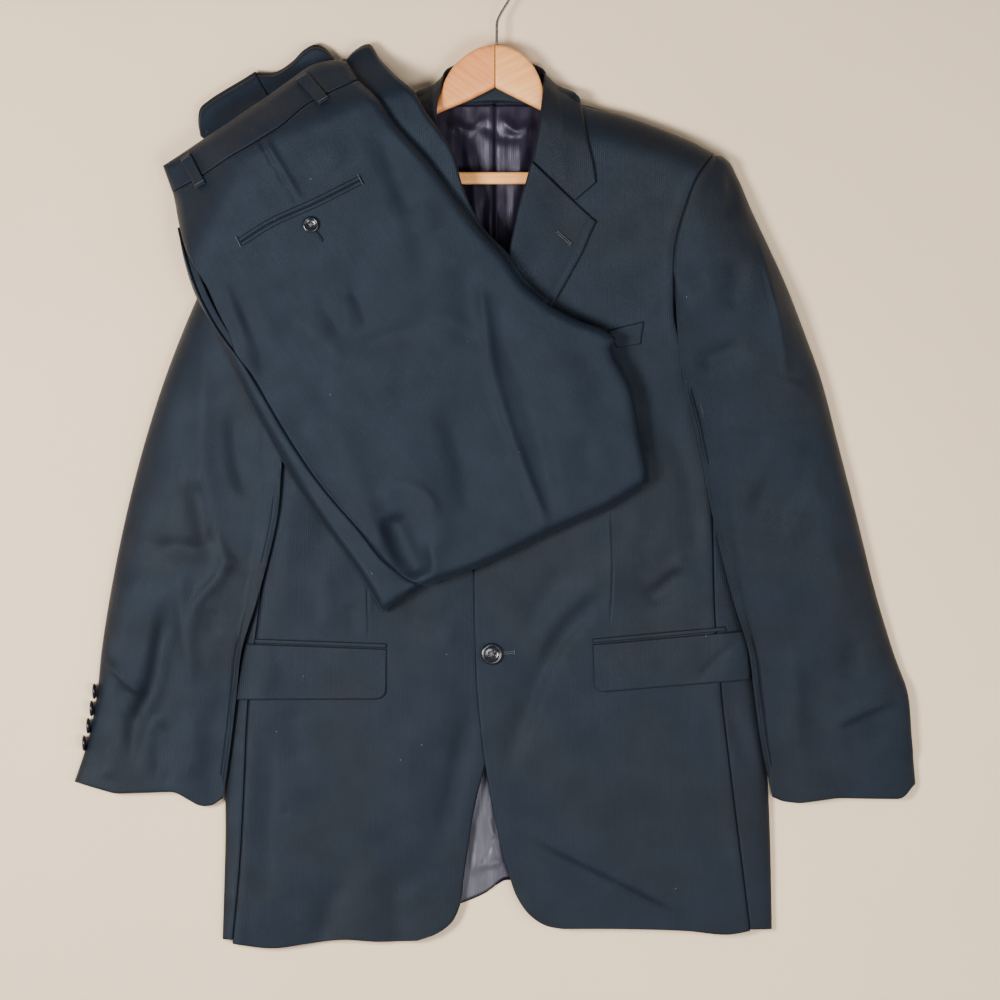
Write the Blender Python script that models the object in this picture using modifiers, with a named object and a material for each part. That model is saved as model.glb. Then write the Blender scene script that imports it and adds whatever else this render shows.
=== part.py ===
"""A two-piece suit laid out flat: the buttoned jacket on its wooden hanger, with the folded trousers
lying across its shoulder.

The suit lies on the plane z = 0. Sizes are in millimetres in a working frame: x runs across the jacket
from its centre line, y runs up towards the hanger and z up from the surface. centre() moves everything so
that the origin is at the bottom centre of the whole suit, and metres() turns it into metres.
"""

import math
from collections import namedtuple

import bmesh
import bpy
import numpy as np

COLLECTION = "two_piece_suit"
MM = 0.001

# Walls and gaps
WALL = 1.3
LINING_WALL = 1.0
COLLAR_WALL = 1.8
SEAM = 0.5
FLOOR = 0.3
LAYER = 0.8

# Jacket body: outline and height of the lying chest, row by row
BodyRow = namedtuple("BodyRow", "y left right crown")
BODY = (
    BodyRow(400, -270, 270, 30),
    BodyRow(321, -262, 262, 38),
    BodyRow(240, -240, 240, 34),
    BodyRow(170, -222, 222, 29),
    BodyRow(121, -208, 208, 26),
    BodyRow(55, -212, 212, 25),
    BodyRow(-18, -219, 219, 24),
    BodyRow(-92, -230, 230, 22),
    BodyRow(-142, -239, 241, 21),
    BodyRow(-184, -244, 247, 20),
    BodyRow(-262, -250, 253, 18),
    BodyRow(-310, -250, 255, 16),
    BodyRow(-351, -251, 256, 15),
    BodyRow(-420, -253, 257, 13),
)
SIDE_EDGE = 5.0
SIDE_ROUND = 52.0
SHOULDER_EDGE = 13.0
SHOULDER_ROUND = 40.0
SHOULDER = ((0, 392), (49, 383), (78, 367), (121, 355), (152, 344), (179, 333), (203, 320), (262, 292))
UNDERARM_Y = 121
SIDE_TUCK = 20.0

# Sleeves: inner and outer edge and height, row by row, for each side
SleeveRow = namedtuple("SleeveRow", "y inner outer crown")
SLEEVE_LEFT = (
    SleeveRow(320, 203, 214, 14),
    SleeveRow(300, 188, 224, 27),
    SleeveRow(270, 175.5, 237, 34),
    SleeveRow(236, 166.5, 253, 36),
    SleeveRow(201, 165.2, 269, 35),
    SleeveRow(160, 167, 285, 33),
    SleeveRow(113, 172.5, 302, 31),
    SleeveRow(60, 185, 316, 29),
    SleeveRow(-18, 200.5, 336, 27),
    SleeveRow(-94, 219.5, 355, 25),
    SleeveRow(-140, 233.5, 369, 23),
    SleeveRow(-178, 238.5, 382, 21),
    SleeveRow(-220, 244.5, 386, 18),
    SleeveRow(-284, 258, 392, 14),
)
SLEEVE_RIGHT = (
    SleeveRow(320, 203, 214, 14),
    SleeveRow(300, 188, 224, 27),
    SleeveRow(270, 175.5, 237, 34),
    SleeveRow(236, 166.5, 252, 36),
    SleeveRow(201, 165.2, 270, 35),
    SleeveRow(160, 167, 288, 33),
    SleeveRow(113, 175, 306, 31),
    SleeveRow(60, 192, 323, 29),
    SleeveRow(-18, 200.5, 343, 27),
    SleeveRow(-94, 219.5, 358, 25),
    SleeveRow(-140, 233.5, 365, 23),
    SleeveRow(-178, 238, 369, 21),
    SleeveRow(-220, 243, 377, 18),
    SleeveRow(-284, 252, 398, 14),
)
CUFF_LEFT = ((0, -274), (0.05, -279), (0.18, -281), (0.45, -276), (0.9, -277), (1, -262))
CUFF_RIGHT = ((0, -274), (0.05, -283), (0.14, -284), (0.32, -270), (0.7, -272), (1, -261))
SLEEVE_TOP_Y = 320
SLEEVE_YS = (318, 300, 272, 240, 205, 165, 125, 80, 20, -50, -105, -150, -185, -225, -275)
SLEEVE_SHARES = np.array([0, 0.04, 0.13, 0.3, 0.5, 0.7, 0.87, 0.96, 1])
SLEEVE_TUCK = ((0.012, 1.0), (0.045, 0.0))
UNDER_SHARES = np.array([0, 0.06, 0.13, 0.23, 0.39, 0.61, 0.86, 1])
SLEEVE_EDGE = 4.0
SEWN_ABOVE_Y = 212
LOOSE_BELOW_Y = 168
CLEARANCE = 2.8

# Fronts: the roll line and front edge of the overlapping front, and that of the front under it
EDGE_LEFT = (
    ((51, 374), (44, 341), (35, 310), (24, 272), (12, 218), (0, 166), (-11, 115), (-17, 69), (-20, 37)),
    ((-20, 37), (-20, -66), (-19, -114), (-16, -187), (-9, -247), (0, -297), (6, -325), (13, -348)),
    ((13, -348), (20, -367), (33, -385), (47, -394), (62, -397)),
)
EDGE_RIGHT = (
    ((-51, 374), (-44, 341), (-35, 310), (-24, 272), (-12, 218), (0, 166), (7, 115), (12, 69), (13, 37)),
    ((13, 37), (13, -129), (8, -175), (-3, -225), (-17, -276), (-25, -323), (-29, -351)),
    ((-29, -351), (-32, -374), (-40, -391), (-53, -401), (-72, -408)),
)
ARMHOLE = (
    (202, 321), (187, 300), (175, 270), (166, 236), (164, 201), (164.5, 180), (167, 160), (174, 143),
    (186, 127),
)
SEAM_LEFT = (
    (186, 127), (199, 40), (201, -32), (203, -110), (208, -168), (218, -257), (231, -359), (236, -399),
)
SEAM_RIGHT = (
    (186, 127), (199, 40), (210, -32), (219, -110), (228, -187), (232, -267), (236, -337), (243, -411),
)
HEM_LEFT = ((62, -397), (113, -397), (178, -399), (219, -402), (236, -399), (257, -397))
HEM_RIGHT = ((72, -408), (107, -409), (140, -407), (173, -411), (206, -415), (243, -411), (253, -406))
FRONT_TOP = ((51, 374), (60, 371), (78, 365.5), (121, 354.5), (152, 343.5), (179, 332.5), (202, 321))
BACK_HEM = (
    (-240, -404), (-130, -397), (-70, -386), (-28, -373), (-8, -364), (8, -353), (22, -353), (60, -375),
    (130, -394), (240, -397),
)
BACK_HEM_LEVEL = -400
LINING_HEM_RISE = 1.5
OVERLAP_START = -52
OVERLAP_END = -12
OVERLAP_DROP = 3.4
LAPEL_DROP = 4.0

# Lapel: from the roll line (roll) over its middle to its outer edge, from the collar seam down
LapelRow = namedtuple("LapelRow", "roll middle edge")
LAPEL = (
    LapelRow((35, 310), (73, 274), (93, 256)),
    LapelRow((30, 292), (65, 262), (88, 246)),
    LapelRow((24, 272), (56, 245), (81, 229)),
    LapelRow((17, 240), (44, 222), (68, 205)),
    LapelRow((10, 208), (34, 193), (53, 179)),
    LapelRow((0, 166), (21, 157), (39, 152)),
    LapelRow((-11, 115), (5, 108), (18, 112)),
    LapelRow((-17, 69), (-9, 70), (-2, 76)),
    LapelRow((-19, 50), (-17, 50), (-15, 51)),
)
LAPEL_ROWS_UNDER = 6
ROLL_LIFT = 3.0

# Collar: from the fold over the middle to the leaf's edge, from the notch round the neck to the back
CollarRow = namedtuple("CollarRow", "fold middle edge fold_z edge_z")
COLLAR = (
    CollarRow((35.8, 310.6), (73.4, 274.8), (93, 292), 32, 36),
    CollarRow((39, 328), (68, 305), (90, 311), 34, 36),
    CollarRow((42, 345), (64, 333), (84, 336), 36, 36),
    CollarRow((44.5, 366), (61, 357), (80, 361), 35, 33),
    CollarRow((46, 382), (60, 372), (77, 373), 30, 24),
    CollarRow((46.5, 393), (57, 384), (67, 380), 18, 12),
    CollarRow((37, 400), (42, 386), (48, 372), 7.7, 0.5),
    CollarRow((20, 403), (22, 384), (24, 364), 6.4, 0.3),
    CollarRow((0, 404), (0, 384), (0, 362), 6.2, 0.3),
)
COLLAR_ON_FRONT = (1, 1, 1, 0.85, 0.3, 0, 0, 0, 0)

# Pockets of the jacket
FLAP_LEFT = ((90, -133.4), (235, -120.4), (92, -178), (235, -166))
FLAP_RIGHT = ((-100, -137.6), (-230, -132.6), (-101, -184), (-241, -184.5))
FLAP_CORNER = 9.0
JET_LEFT = ((90, -128), (213, -116.8))
JET_RIGHT = ((-100, -132.5), (-222, -128))
JET_WIDTH = 4.2
WELT = ((104, 156), (137, 164.5), (112, 140), (134, 143.5))

# Buttons
FRONT_BUTTONS = (("front_button_lower", -3, -142), ("front_button_upper", -3, -31))
FRONT_BUTTON = (10.0, 3.2)
CUFF_BUTTON = (7.4, 2.8)
CUFF_BUTTON_YS = (-177, -193, -209, -225)

# Hanger
HangerRow = namedtuple("HangerRow", "x top low base crown")
HANGER = (
    HangerRow(0.4, 420, 381, 12, 25),
    HangerRow(9, 419, 376.5, 12, 25),
    HangerRow(17, 416.5, 372.5, 12, 25),
    HangerRow(28, 409, 367, 12, 25),
    HangerRow(37, 398, 362.5, 12, 25),
    HangerRow(43, 385, 359.5, 12, 25),
    HangerRow(48, 370, 357, 11.5, 24.5),
    HangerRow(62, 361, 350, 10, 23),
    HangerRow(80, 350, 340, 8, 22),
    HangerRow(105, 338, 328, 7.5, 22),
    HangerRow(130, 327, 315, 7, 22),
    HangerRow(151, 317, 304, 7, 22),
    HangerRow(152.5, 316, 291, 7, 22),
    HangerRow(168, 308, 286, 7, 22),
    HangerRow(180, 300, 288, 8, 21),
)
HANGER_BEVEL = 3.5
BAR_Y = 297.5
BAR_HALF = 150.5
BAR_Z = 15.0
BAR_SIZE = (11.0, 9.0)
HOOK_WIRE = 1.3
HOOK_RADIUS = 24.0
HOOK_CENTRE = (0.0, 482.0)
HOOK_Z = 18.5

# Trousers: their outline, piece by piece
WAIST_TOP = ((-307, 309), (-282, 325), (-246, 348), (-212, 371), (-189, 388), (-167, 403), (-138, 407))
WAIST_SEAM = (
    (-297, 283), (-265, 299), (-242, 313), (-219, 326), (-198, 339), (-168, 364), (-148, 374), (-125, 385),
)
SEAT = (
    (-125, 385), (-106, 366), (-95, 349), (-62, 311), (-37, 278), (-17, 251), (8, 224), (23, 202), (50, 178),
)
CROTCH = ((50, 178), (80, 163), (98, 157), (112, 148))
INSEAM = ((112, 148), (107, 141), (109, 131), (117, 118), (123, 106), (133, 64), (141, 28), (142, 17))
BOTTOM_FOLD = ((142, 17), (107, -5), (54, -29), (-20, -64), (-62, -79))
BOTTOM_CORNER = ((-62, -79), (-104, -104))
OUTSEAM = (
    (-297, 283), (-289, 247), (-276, 210), (-261, 173), (-241, 138), (-225, 118), (-199, 74), (-160, 15),
    (-120, -32), (-96, -59), (-81, -72), (-62, -79),
)
FRONT_EDGE = (
    (-104, -104), (-120, -76), (-140, -47), (-160, -20), (-199, 42), (-236, 113), (-258, 158), (-274, 187),
    (-285, 219), (-292, 249), (-297, 283),
)
FrontRow = namedtuple("FrontRow", "outer inner_y gap")
FRONT_STRIP = (
    FrontRow((-292.5, 250), 251, 1.2),
    FrontRow((-285.5, 219), 221, 3.0),
    FrontRow((-274.5, 187), 190, 3.6),
    FrontRow((-258.5, 158), 161, 2.4),
    FrontRow((-236, 113), 118, 1.2),
    FrontRow((-219, 79), 85, 1.2),
    FrontRow((-199, 42), 50, 1.2),
    FrontRow((-179, 7), 19, 1.2),
    FrontRow((-160, -20), -6, 1.2),
    FrontRow((-140, -47), -29, 1.6),
    FrontRow((-120, -76), -57, 3.4),
    FrontRow((-104, -104), -77.5, 5.4),
)
EDGE_RISE = 4.0
LAYER_RISE = 6.5
WAIST_NORMAL = (-0.502, 0.865)
SEAT_NORMAL = (0.76, 0.65)
LEG_PILE = 17.0
PILE_ROUND = 24.0
UnderRow = namedtuple("UnderRow", "y height")
UNDERLAY = (
    UnderRow(430, 33),
    UnderRow(383, 42),
    UnderRow(321, 46),
    UnderRow(240, 42),
    UnderRow(170, 38),
    UnderRow(113, 36),
    UnderRow(55, 33),
    UnderRow(-18, 31),
    UnderRow(-110, 29),
)
JACKET_CORNER = (
    (0, 392), (-49, 383), (-121, 355), (-202, 321), (-224, 300), (-252, 236), (-288, 160), (-323, 60),
    (-343, -18), (-358, -94), (-365, -140), (200, -140), (200, 340),
)
UNDERLAY_FALL = 75.0
UNDERLAY_LEFT = 7.0

# Trouser pockets, loops and hems
LOOP_SIDE = ((-290, 314), (-281, 320), (-274, 285), (-265, 290))
LOOP_BACK = ((-184, 388.5), (-173.5, 394.5), (-160.5, 360.5), (-151, 367))
LOOP_WALL = 1.8
BACK_POCKET = ((-235, 238.5), (-207, 256), (-167, 274), (-123, 296))
POCKET_JET = 4.0
POCKET_BUTTON = (-168, 251)
TROUSER_BUTTON = (7.4, 2.6)
POCKET_LOOP = ((-163, 245), (-157, 236))
FACING_DEPTH = 3.4
FACING_WIDTH = 7.0
HEM_UPPER = (
    ((-272, 346), (-266, 367), (-233, 390), (-222, 397)),
    ((-262, 329), (-240, 343), (-215, 359), (-205, 367)),
)
HEM_LOWER = (
    ((-219.5, 394), (-205, 396), (-187, 407), (-177, 417), (-166, 422), (-158, 419), (-149, 409)),
    ((-203, 369), (-191, 378), (-182, 385), (-172, 391), (-164, 396), (-157, 398), (-146, 399)),
)
LEG_SIDE = (
    (
        (-139, 405), (-131, 415), (-117, 422), (-106, 407), (-89, 388), (-73, 373), (-64, 357), (-41, 325),
        (-27, 280), (-10, 249), (12, 226), (28, 203), (52, 181),
    ),
    (
        (-141, 392), (-135, 386), (-125, 376), (-111, 362), (-100, 345), (-84, 326), (-67, 307), (-52, 289),
        (-40, 270), (-22, 247), (3, 220), (18, 198), (44, 175),
    ),
)
LEG_LAYER = 5.5
SEAT_INSET = 10.0

# The largest folds: a ridge or, with a negative height, a trough along a line
Fold = namedtuple("Fold", "start end width height")
BODY_FOLDS = (
    Fold((170, -5), (70, -110), 30, 3.0),
    Fold((175, -60), (120, -105), 22, -2.5),
    Fold((40, -190), (130, -330), 34, 2.2),
    Fold((-60, -170), (-90, -360), 34, 2.2),
    Fold((-120, -300), (-70, -370), 24, -2.5),
    Fold((-205, 20), (-190, -110), 22, 3.0),
)
SLEEVE_FOLDS = (
    Fold((250, 240), (275, 110), 16, 3.5),
    Fold((200, 130), (255, 150), 20, -3.0),
    Fold((315, -215), (375, -180), 22, 3.5),
    Fold((300, 60), (330, -120), 24, 2.5),
    Fold((-300, 60), (-290, -120), 24, 3.0),
    Fold((-302, -125), (-318, -268), 16, -4.0),
    Fold((-365, -150), (-330, -185), 14, 3.0),
    Fold((-345, -60), (-345, -140), 22, 3.0),
)
TROUSER_FOLDS = (
    Fold((-17, 185), (50, -28), 12, 5.0),
    Fold((-12, 130), (18, 20), 26, -4.0),
    Fold((-92, -12), (-70, -66), 13, -12.0),
    Fold((-60, 20), (-48, -60), 18, 5.0),
    Fold((-122, 2), (-96, -50), 14, 4.0),
    Fold((-238, 200), (-205, 130), 24, 4.0),
    Fold((-100, 290), (-40, 180), 30, 3.0),
    Fold((20, 180), (60, 60), 20, 3.5),
)

Finish = namedtuple("Finish", "colour roughness metallic")
WOOL = Finish((0.045, 0.055, 0.080), 0.85, 0.0)
SATIN = Finish((0.085, 0.080, 0.100), 0.35, 0.0)
WOOD = Finish((0.800, 0.480, 0.260), 0.45, 0.0)
STEEL = Finish((0.700, 0.680, 0.650), 0.25, 1.0)
HORN = Finish((0.020, 0.020, 0.025), 0.25, 0.0)


# ---------------------------------------------------------------- curves and heights

def step(value):
    """Smooth step from 0 to 1."""
    value = np.clip(value, 0.0, 1.0)
    return value * value * (3 - 2 * value)


def quarter(value):
    """Quarter of an ellipse from 0 to 1, upright at 0 and flat at 1."""
    return np.sqrt(1 - (1 - np.clip(value, 0.0, 1.0)) ** 2)


def hermite(keys, values, at):
    """Smooth curve through values at rising keys."""
    keys = np.asarray(keys, float)
    values = np.asarray(values, float)
    at = np.clip(np.asarray(at, float), keys[0], keys[-1])
    slope = np.gradient(values, keys, axis=0)
    index = np.clip(np.searchsorted(keys, at) - 1, 0, len(keys) - 2)
    span = keys[index + 1] - keys[index]
    part = (at - keys[index]) / span
    if values.ndim > 1:
        span = span[..., None]
        part = part[..., None]
    low, high = values[index], values[index + 1]
    return (
        (2 * part**3 - 3 * part**2 + 1) * low
        + (part**3 - 2 * part**2 + part) * span * slope[index]
        + (3 * part**2 - 2 * part**3) * high
        + (part**3 - part**2) * span * slope[index + 1]
    )


def column(rows, name, y):
    """A column of a table of rows, which run down in y, at any y."""
    keys = [row.y for row in reversed(rows)]
    return hermite(keys, [getattr(row, name) for row in reversed(rows)], y)


def route(pieces, places):
    """Points at places from 0 to 1 along smooth curves joined end to end."""
    dense = []
    for points in pieces:
        points = np.asarray(points, float)
        run = np.concatenate([[0], np.cumsum(np.hypot(*np.diff(points, axis=0).T))])
        dense.append(hermite(run, points, np.linspace(0, run[-1], 12 * len(points))))
    dense = np.concatenate(dense)
    run = np.concatenate([[0], np.cumsum(np.hypot(*np.diff(dense, axis=0).T))])
    places = np.asarray(places) * run[-1]
    return np.stack([np.interp(places, run, dense[:, 0]), np.interp(places, run, dense[:, 1])], axis=-1)


def mirrored(points, factor=-1):
    return tuple((factor * x, y) for x, y in points)


def fold_height(x, y, folds):
    """Sum of the ridges and troughs at (x, y)."""
    total = np.zeros(np.broadcast(x, y).shape)
    for fold in folds:
        start, end = np.array(fold.start, float), np.array(fold.end, float)
        length = np.hypot(*(end - start))
        way = (end - start) / length
        along = (x - start[0]) * way[0] + (y - start[1]) * way[1]
        across = (x - start[0]) * way[1] - (y - start[1]) * way[0]
        ends = step(along / (0.3 * length)) * step((length - along) / (0.3 * length))
        total = total + fold.height * ends * np.exp(-((across / fold.width) ** 2) * 2)
    return total


def inside_by(x, y, outline):
    """Distance from (x, y) to the closed outline, positive inside."""
    x, y = np.asarray(x, float), np.asarray(y, float)
    nearest = np.full(x.shape, 1e9)
    inside = np.zeros(x.shape, bool)
    for (ax, ay), (bx, by) in zip(outline, np.roll(outline, -1, axis=0)):
        length = max((bx - ax) ** 2 + (by - ay) ** 2, 1e-9)
        part = np.clip(((x - ax) * (bx - ax) + (y - ay) * (by - ay)) / length, 0, 1)
        nearest = np.minimum(nearest, np.hypot(x - ax - part * (bx - ax), y - ay - part * (by - ay)))
        crossed = (ay > y) != (by > y)
        if ay != by:
            inside ^= crossed & (x < ax + (y - ay) * (bx - ax) / (by - ay))
    return np.where(inside, nearest, -nearest)


def shoulder_y(x):
    return hermite([p[0] for p in SHOULDER], [p[1] for p in SHOULDER], np.abs(x))


def body_top(x, y):
    """Height of the jacket's chest and skirt over the surface it lies on."""
    left, right = column(BODY, "left", y), column(BODY, "right", y)
    crown = column(BODY, "crown", y) + fold_height(x, y, BODY_FOLDS)
    side = quarter(np.minimum(x - left, right - x) / SIDE_ROUND)
    height = SIDE_EDGE + (crown - SIDE_EDGE) * side
    near = quarter((shoulder_y(x) - y) / SHOULDER_ROUND)
    return SHOULDER_EDGE + (height - SHOULDER_EDGE) * near


def sleeve_base(x, y, rows, side):
    """Height of what the sleeve lies on: the jacket's side, then the surface."""
    beyond = np.abs(x) - column(BODY, "right" if side > 0 else "left", y) * side
    over_flap = 2.5 * np.exp(-(((y + 140) / 40) ** 2))
    over_underarm = 3.5 * np.exp(-(((y - 80) / 45) ** 2))
    over = body_top(x, y) + CLEARANCE + over_flap + over_underarm
    over_edge = SIDE_EDGE + CLEARANCE + over_underarm
    height = np.where(beyond < 0, over, over_edge * (1 - step(beyond / 16)))
    share = (np.abs(x) - column(rows, "inner", y)) / (column(rows, "outer", y) - column(rows, "inner", y))
    tucked = 5.2 * step((share - 0.75) / 0.1) * step((-160 - y) / 12) * step((y + 242) / 12)
    return FLOOR + height * (1 - step((y - LOOSE_BELOW_Y) / 60)) + (tucked if side > 0 else 0)


def sleeve_top(x, y, rows, side):
    """Height of the upper side of a sleeve."""
    inner, outer = column(rows, "inner", y), column(rows, "outer", y)
    share = np.clip((np.abs(x) - inner) / (outer - inner), 0, 1)
    crown = column(rows, "crown", y) + fold_height(x, y, SLEEVE_FOLDS)
    base = sleeve_base(x, y, rows, side)
    lens = (1 - np.abs(2 * share - 1) ** 2.6) ** 0.5
    loose = (base + SLEEVE_EDGE) * (1 - lens) + crown * lens
    seam = body_top(side * inner, y)
    swell = seam + (crown + 2 - seam) * step(share / 0.35)
    sewn = SLEEVE_EDGE + FLOOR + (swell - SLEEVE_EDGE - FLOOR) * np.sqrt(1 - share**3)
    return loose + (sewn - loose) * step((y - LOOSE_BELOW_Y) / (SEWN_ABOVE_Y - LOOSE_BELOW_Y))


def trouser_outline():
    corner = (WAIST_TOP[-1], SEAT[0])
    pieces = (WAIST_TOP, corner, SEAT, CROTCH, INSEAM, BOTTOM_FOLD, BOTTOM_CORNER, FRONT_EDGE)
    return route(pieces, np.linspace(0, 1, 140, endpoint=False))


OUTLINE = trouser_outline()


def underlay(x, y):
    """Height of the jacket and of the surface beside it, smoothed, under the trousers."""
    height = hermite([row.y for row in reversed(UNDERLAY)], [row.height for row in reversed(UNDERLAY)], y)
    away = -np.minimum(inside_by(x, y, np.array(JACKET_CORNER, float)), 0)
    return UNDERLAY_LEFT + (height - UNDERLAY_LEFT) * (1 - step(away / UNDERLAY_FALL))


def edge_rise(x, y):
    """How high the trousers' upper layer stands at its own edge: more over the second leg and the hems."""
    over_hems = step((WAIST_NORMAL[0] * x + WAIST_NORMAL[1] * y - 385) / 15)
    over_leg = step((SEAT_NORMAL[0] * x + SEAT_NORMAL[1] * y - 130) / 20)
    return EDGE_RISE + LAYER_RISE * np.maximum(over_hems, over_leg)


def trouser_top(x, y):
    """Height of the trousers' upper layer."""
    rise = edge_rise(x, y)
    inside = quarter(inside_by(x, y, OUTLINE) / PILE_ROUND)
    return underlay(x, y) + rise + (LEG_PILE + 3 - rise) * inside + fold_height(x, y, TROUSER_FOLDS) * inside


# ---------------------------------------------------------------- meshes

def make_material(name, finish):
    material = bpy.data.materials.new(name)
    material.use_nodes = True
    shader = material.node_tree.nodes["Principled BSDF"]
    shader.inputs["Base Color"].default_value = (*finish.colour, 1)
    shader.inputs["Roughness"].default_value = finish.roughness
    shader.inputs["Metallic"].default_value = finish.metallic
    return material


def add_object(collection, name, mesh, finish, smooth=True):
    obj = bpy.data.objects.new(name, mesh)
    obj.data.materials.append(make_material(name, finish))
    if smooth:
        obj.data.shade_smooth()
    collection.objects.link(obj)
    return obj


def metres(points):
    return np.asarray(points, float) * MM


def grid_mesh(name, points):
    """An open quad mesh from rows of points, facing up where the rows run down and the columns right."""
    rows, columns = points.shape[:2]
    mesh = bpy.data.meshes.new(name)
    corner = lambda r, c: r * columns + c
    faces = [
        (corner(r, c), corner(r + 1, c), corner(r + 1, c + 1), corner(r, c + 1))
        for r in range(rows - 1)
        for c in range(columns - 1)
    ]
    mesh.from_pydata([tuple(p) for p in points.reshape(-1, 3)], [], faces)
    mesh.update()
    return mesh


def is_up(points):
    """Whether the faces of the grid look up."""
    across = (points[:, 1:] - points[:, :-1])[:-1]
    down = (points[1:] - points[:-1])[:, :-1]
    return float((down[..., 0] * across[..., 1] - down[..., 1] * across[..., 0]).sum()) > 0


def facing(points, up=True):
    """Turns the columns round if the sheet does not face the way asked."""
    return points if is_up(points) == up else points[:, ::-1]


def sheet(collection, name, points, finish=WOOL, wall=WALL, up=True, even=True, probe=slice(None)):
    """A wall under (or, facing down, over) the surface that the grid of points gives.

    probe picks the columns that show which way the sheet faces; even keeps the wall's thickness at bends.
    """
    points = metres(points)
    points = points if is_up(points[:, probe]) == up else points[:, ::-1]
    mesh = grid_mesh(name, points)
    obj = add_object(collection, name, mesh, finish)
    solidify = obj.modifiers.new("wall", "SOLIDIFY")
    solidify.thickness = wall * MM
    solidify.offset = -1
    solidify.use_even_offset = even
    return obj


def patch(top, bottom, left, right, rows, columns, tight=0.0):
    """Plan of a panel between four edges, each a list of curves; tight crowds columns to the sides."""
    u = np.linspace(0, 1, columns)
    u = u + tight * (u - 0.5 - 0.5 * np.sin(np.pi * (u - 0.5))) * -1
    v = np.linspace(0, 1, rows)
    t, b = route(top, u), route(bottom, u)
    l, r = route(left, v), route(right, v)
    uu, vv = u[None, :, None], v[:, None, None]
    corners = (
        (1 - uu) * (1 - vv) * t[0] + uu * (1 - vv) * t[-1] + (1 - uu) * vv * b[0] + uu * vv * b[-1]
    )
    return (1 - vv) * t[None] + vv * b[None] + (1 - uu) * l[:, None] + uu * r[:, None] - corners


def raised(plan, height):
    """The plan's points with their height, a function of x and y."""
    return np.concatenate([plan, height(plan[..., 0], plan[..., 1])[..., None]], axis=-1)


def between(rows, columns, count=2):
    """Plan from a table: the columns are shared out over the first points of each row."""
    points = np.array([row[:count] for row in rows], float)
    across = np.linspace(0, points.shape[1] - 1, columns)
    index = np.minimum(across.astype(int), points.shape[1] - 2)
    part = (across - index)[None, :, None]
    return points[:, index] * (1 - part) + points[:, index + 1] * part


# ---------------------------------------------------------------- jacket

def overlap_height(x, y):
    """Height of the front that lies underneath: lower where the other front covers it."""
    drop = OVERLAP_DROP + LAPEL_DROP * step((y - 10) / 40) * step((215 - y) / 50)
    return body_top(x, y) - drop * step((x - OVERLAP_START) / (OVERLAP_END - OVERLAP_START))


def front(collection, name, side, edge, seam, hem, height):
    top = [mirrored(FRONT_TOP, side)]
    right = [mirrored(ARMHOLE, side), mirrored(seam, side)]
    bottom = [hem]
    plan = patch(top, bottom, edge, right, 17, 10, 0.7)
    return sheet(collection, name, raised(plan, height))


def side_panel(collection, name, side, seam, hem_y):
    """From the front seam round the lying edge and under to the back."""
    rows = np.linspace(UNDERARM_Y + 3, hem_y, 14)
    seam = np.array(sorted(seam, key=lambda p: p[1]), float)
    start = hermite(seam[:, 1], seam[:, 0], rows) + SEAM
    edge = side * column(BODY, "right" if side > 0 else "left", rows)
    grid = []
    for y, near, far in zip(rows, start, edge):
        across = [near + (far - near) * share for share in (0, 0.35, 0.65, 0.88)]
        heights = [float(body_top(side * x, y)) for x in across]
        section = list(zip(across, heights))
        section += [(far, SIDE_EDGE - 1), (far - 2.2, 1.2), (far - 8, FLOOR), (far - SIDE_TUCK, FLOOR)]
        grid.append([(side * x, y, z) for x, z in section])
    grid = np.array(grid)
    return sheet(collection, name, grid, even=False, probe=slice(0, 4))


def sleeve(collection, name, side, rows, cuff):
    """Upper and under sleeve, two walls that make one flattened tube, open at the armhole and the cuff."""
    shares = SLEEVE_SHARES
    drops = (SLEEVE_TOP_Y - hermite([c[0] for c in cuff], [c[1] for c in cuff], shares)) / SLEEVE_TOP_Y
    levels = (SLEEVE_TOP_Y - np.array(SLEEVE_YS)) / (SLEEVE_TOP_Y - SLEEVE_YS[-1])
    upper, under = [], []
    for level in levels:
        fall = level * drops * SLEEVE_TOP_Y
        y = SLEEVE_TOP_Y - fall
        inner, outer = column(rows, "inner", y) + SEAM, column(rows, "outer", y)
        x = side * (inner + (outer - inner) * shares)
        z = sleeve_top(x, y, rows, side)
        base = sleeve_base(x, y, rows, side)
        sewn = step((y[0] - LOOSE_BELOW_Y) / (SEWN_ABOVE_Y - LOOSE_BELOW_Y))
        wraps = []
        for share, lift in SLEEVE_TUCK:
            loose_x, loose_z = inner[0] + (outer[0] - inner[0]) * share, base[0] + lift
            deep = z[0] - (3 if lift else 6)
            wrap_x = side * (loose_x + (inner[0] - loose_x) * sewn)
            wraps.append((wrap_x, y[0], loose_z + (deep - loose_z) * sewn))
        outer_wraps = [
            (side * (outer[-1] - (outer[-1] - inner[-1]) * share), y[-1], base[-1] + lift)
            for share, lift in SLEEVE_TUCK
        ]
        line = wraps[::-1] + list(zip(x, y, z)) + outer_wraps
        upper.append(line)
        margin = max(0.07, 3.2 / float(outer[0] - inner[0]))
        low = margin + (1 - 2 * margin) * UNDER_SHARES
        low_y = np.interp(low, shares, y)
        low_x = side * (np.interp(low, shares, inner) + np.interp(low, shares, outer - inner) * low)
        under.append(list(zip(low_x, low_y, sleeve_base(low_x, low_y, rows, side))))
    sheet(collection, f"{name}_upper", np.array(upper), even=False, probe=slice(2, -2))
    sheet(collection, f"{name}_under", np.array(under), up=False)


def back_hem(x):
    """The back's hem, which shows between the fronts and is shortest there."""
    return hermite([p[0] for p in BACK_HEM], [p[1] for p in BACK_HEM], x)


def back_height(x, y):
    """The back lies on the surface and turns up to the shoulder seam and over the collar's leaf."""
    near = 1 - quarter((shoulder_y(x) - y) / 22)
    over_leaf = 2.9 * step((90 - np.abs(x)) / 30) * step((y - 335) / 20)
    return FLOOR + over_leaf + (SHOULDER_EDGE - 2.0 - FLOOR) * near * step((np.abs(x) - 62) / 25)


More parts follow.
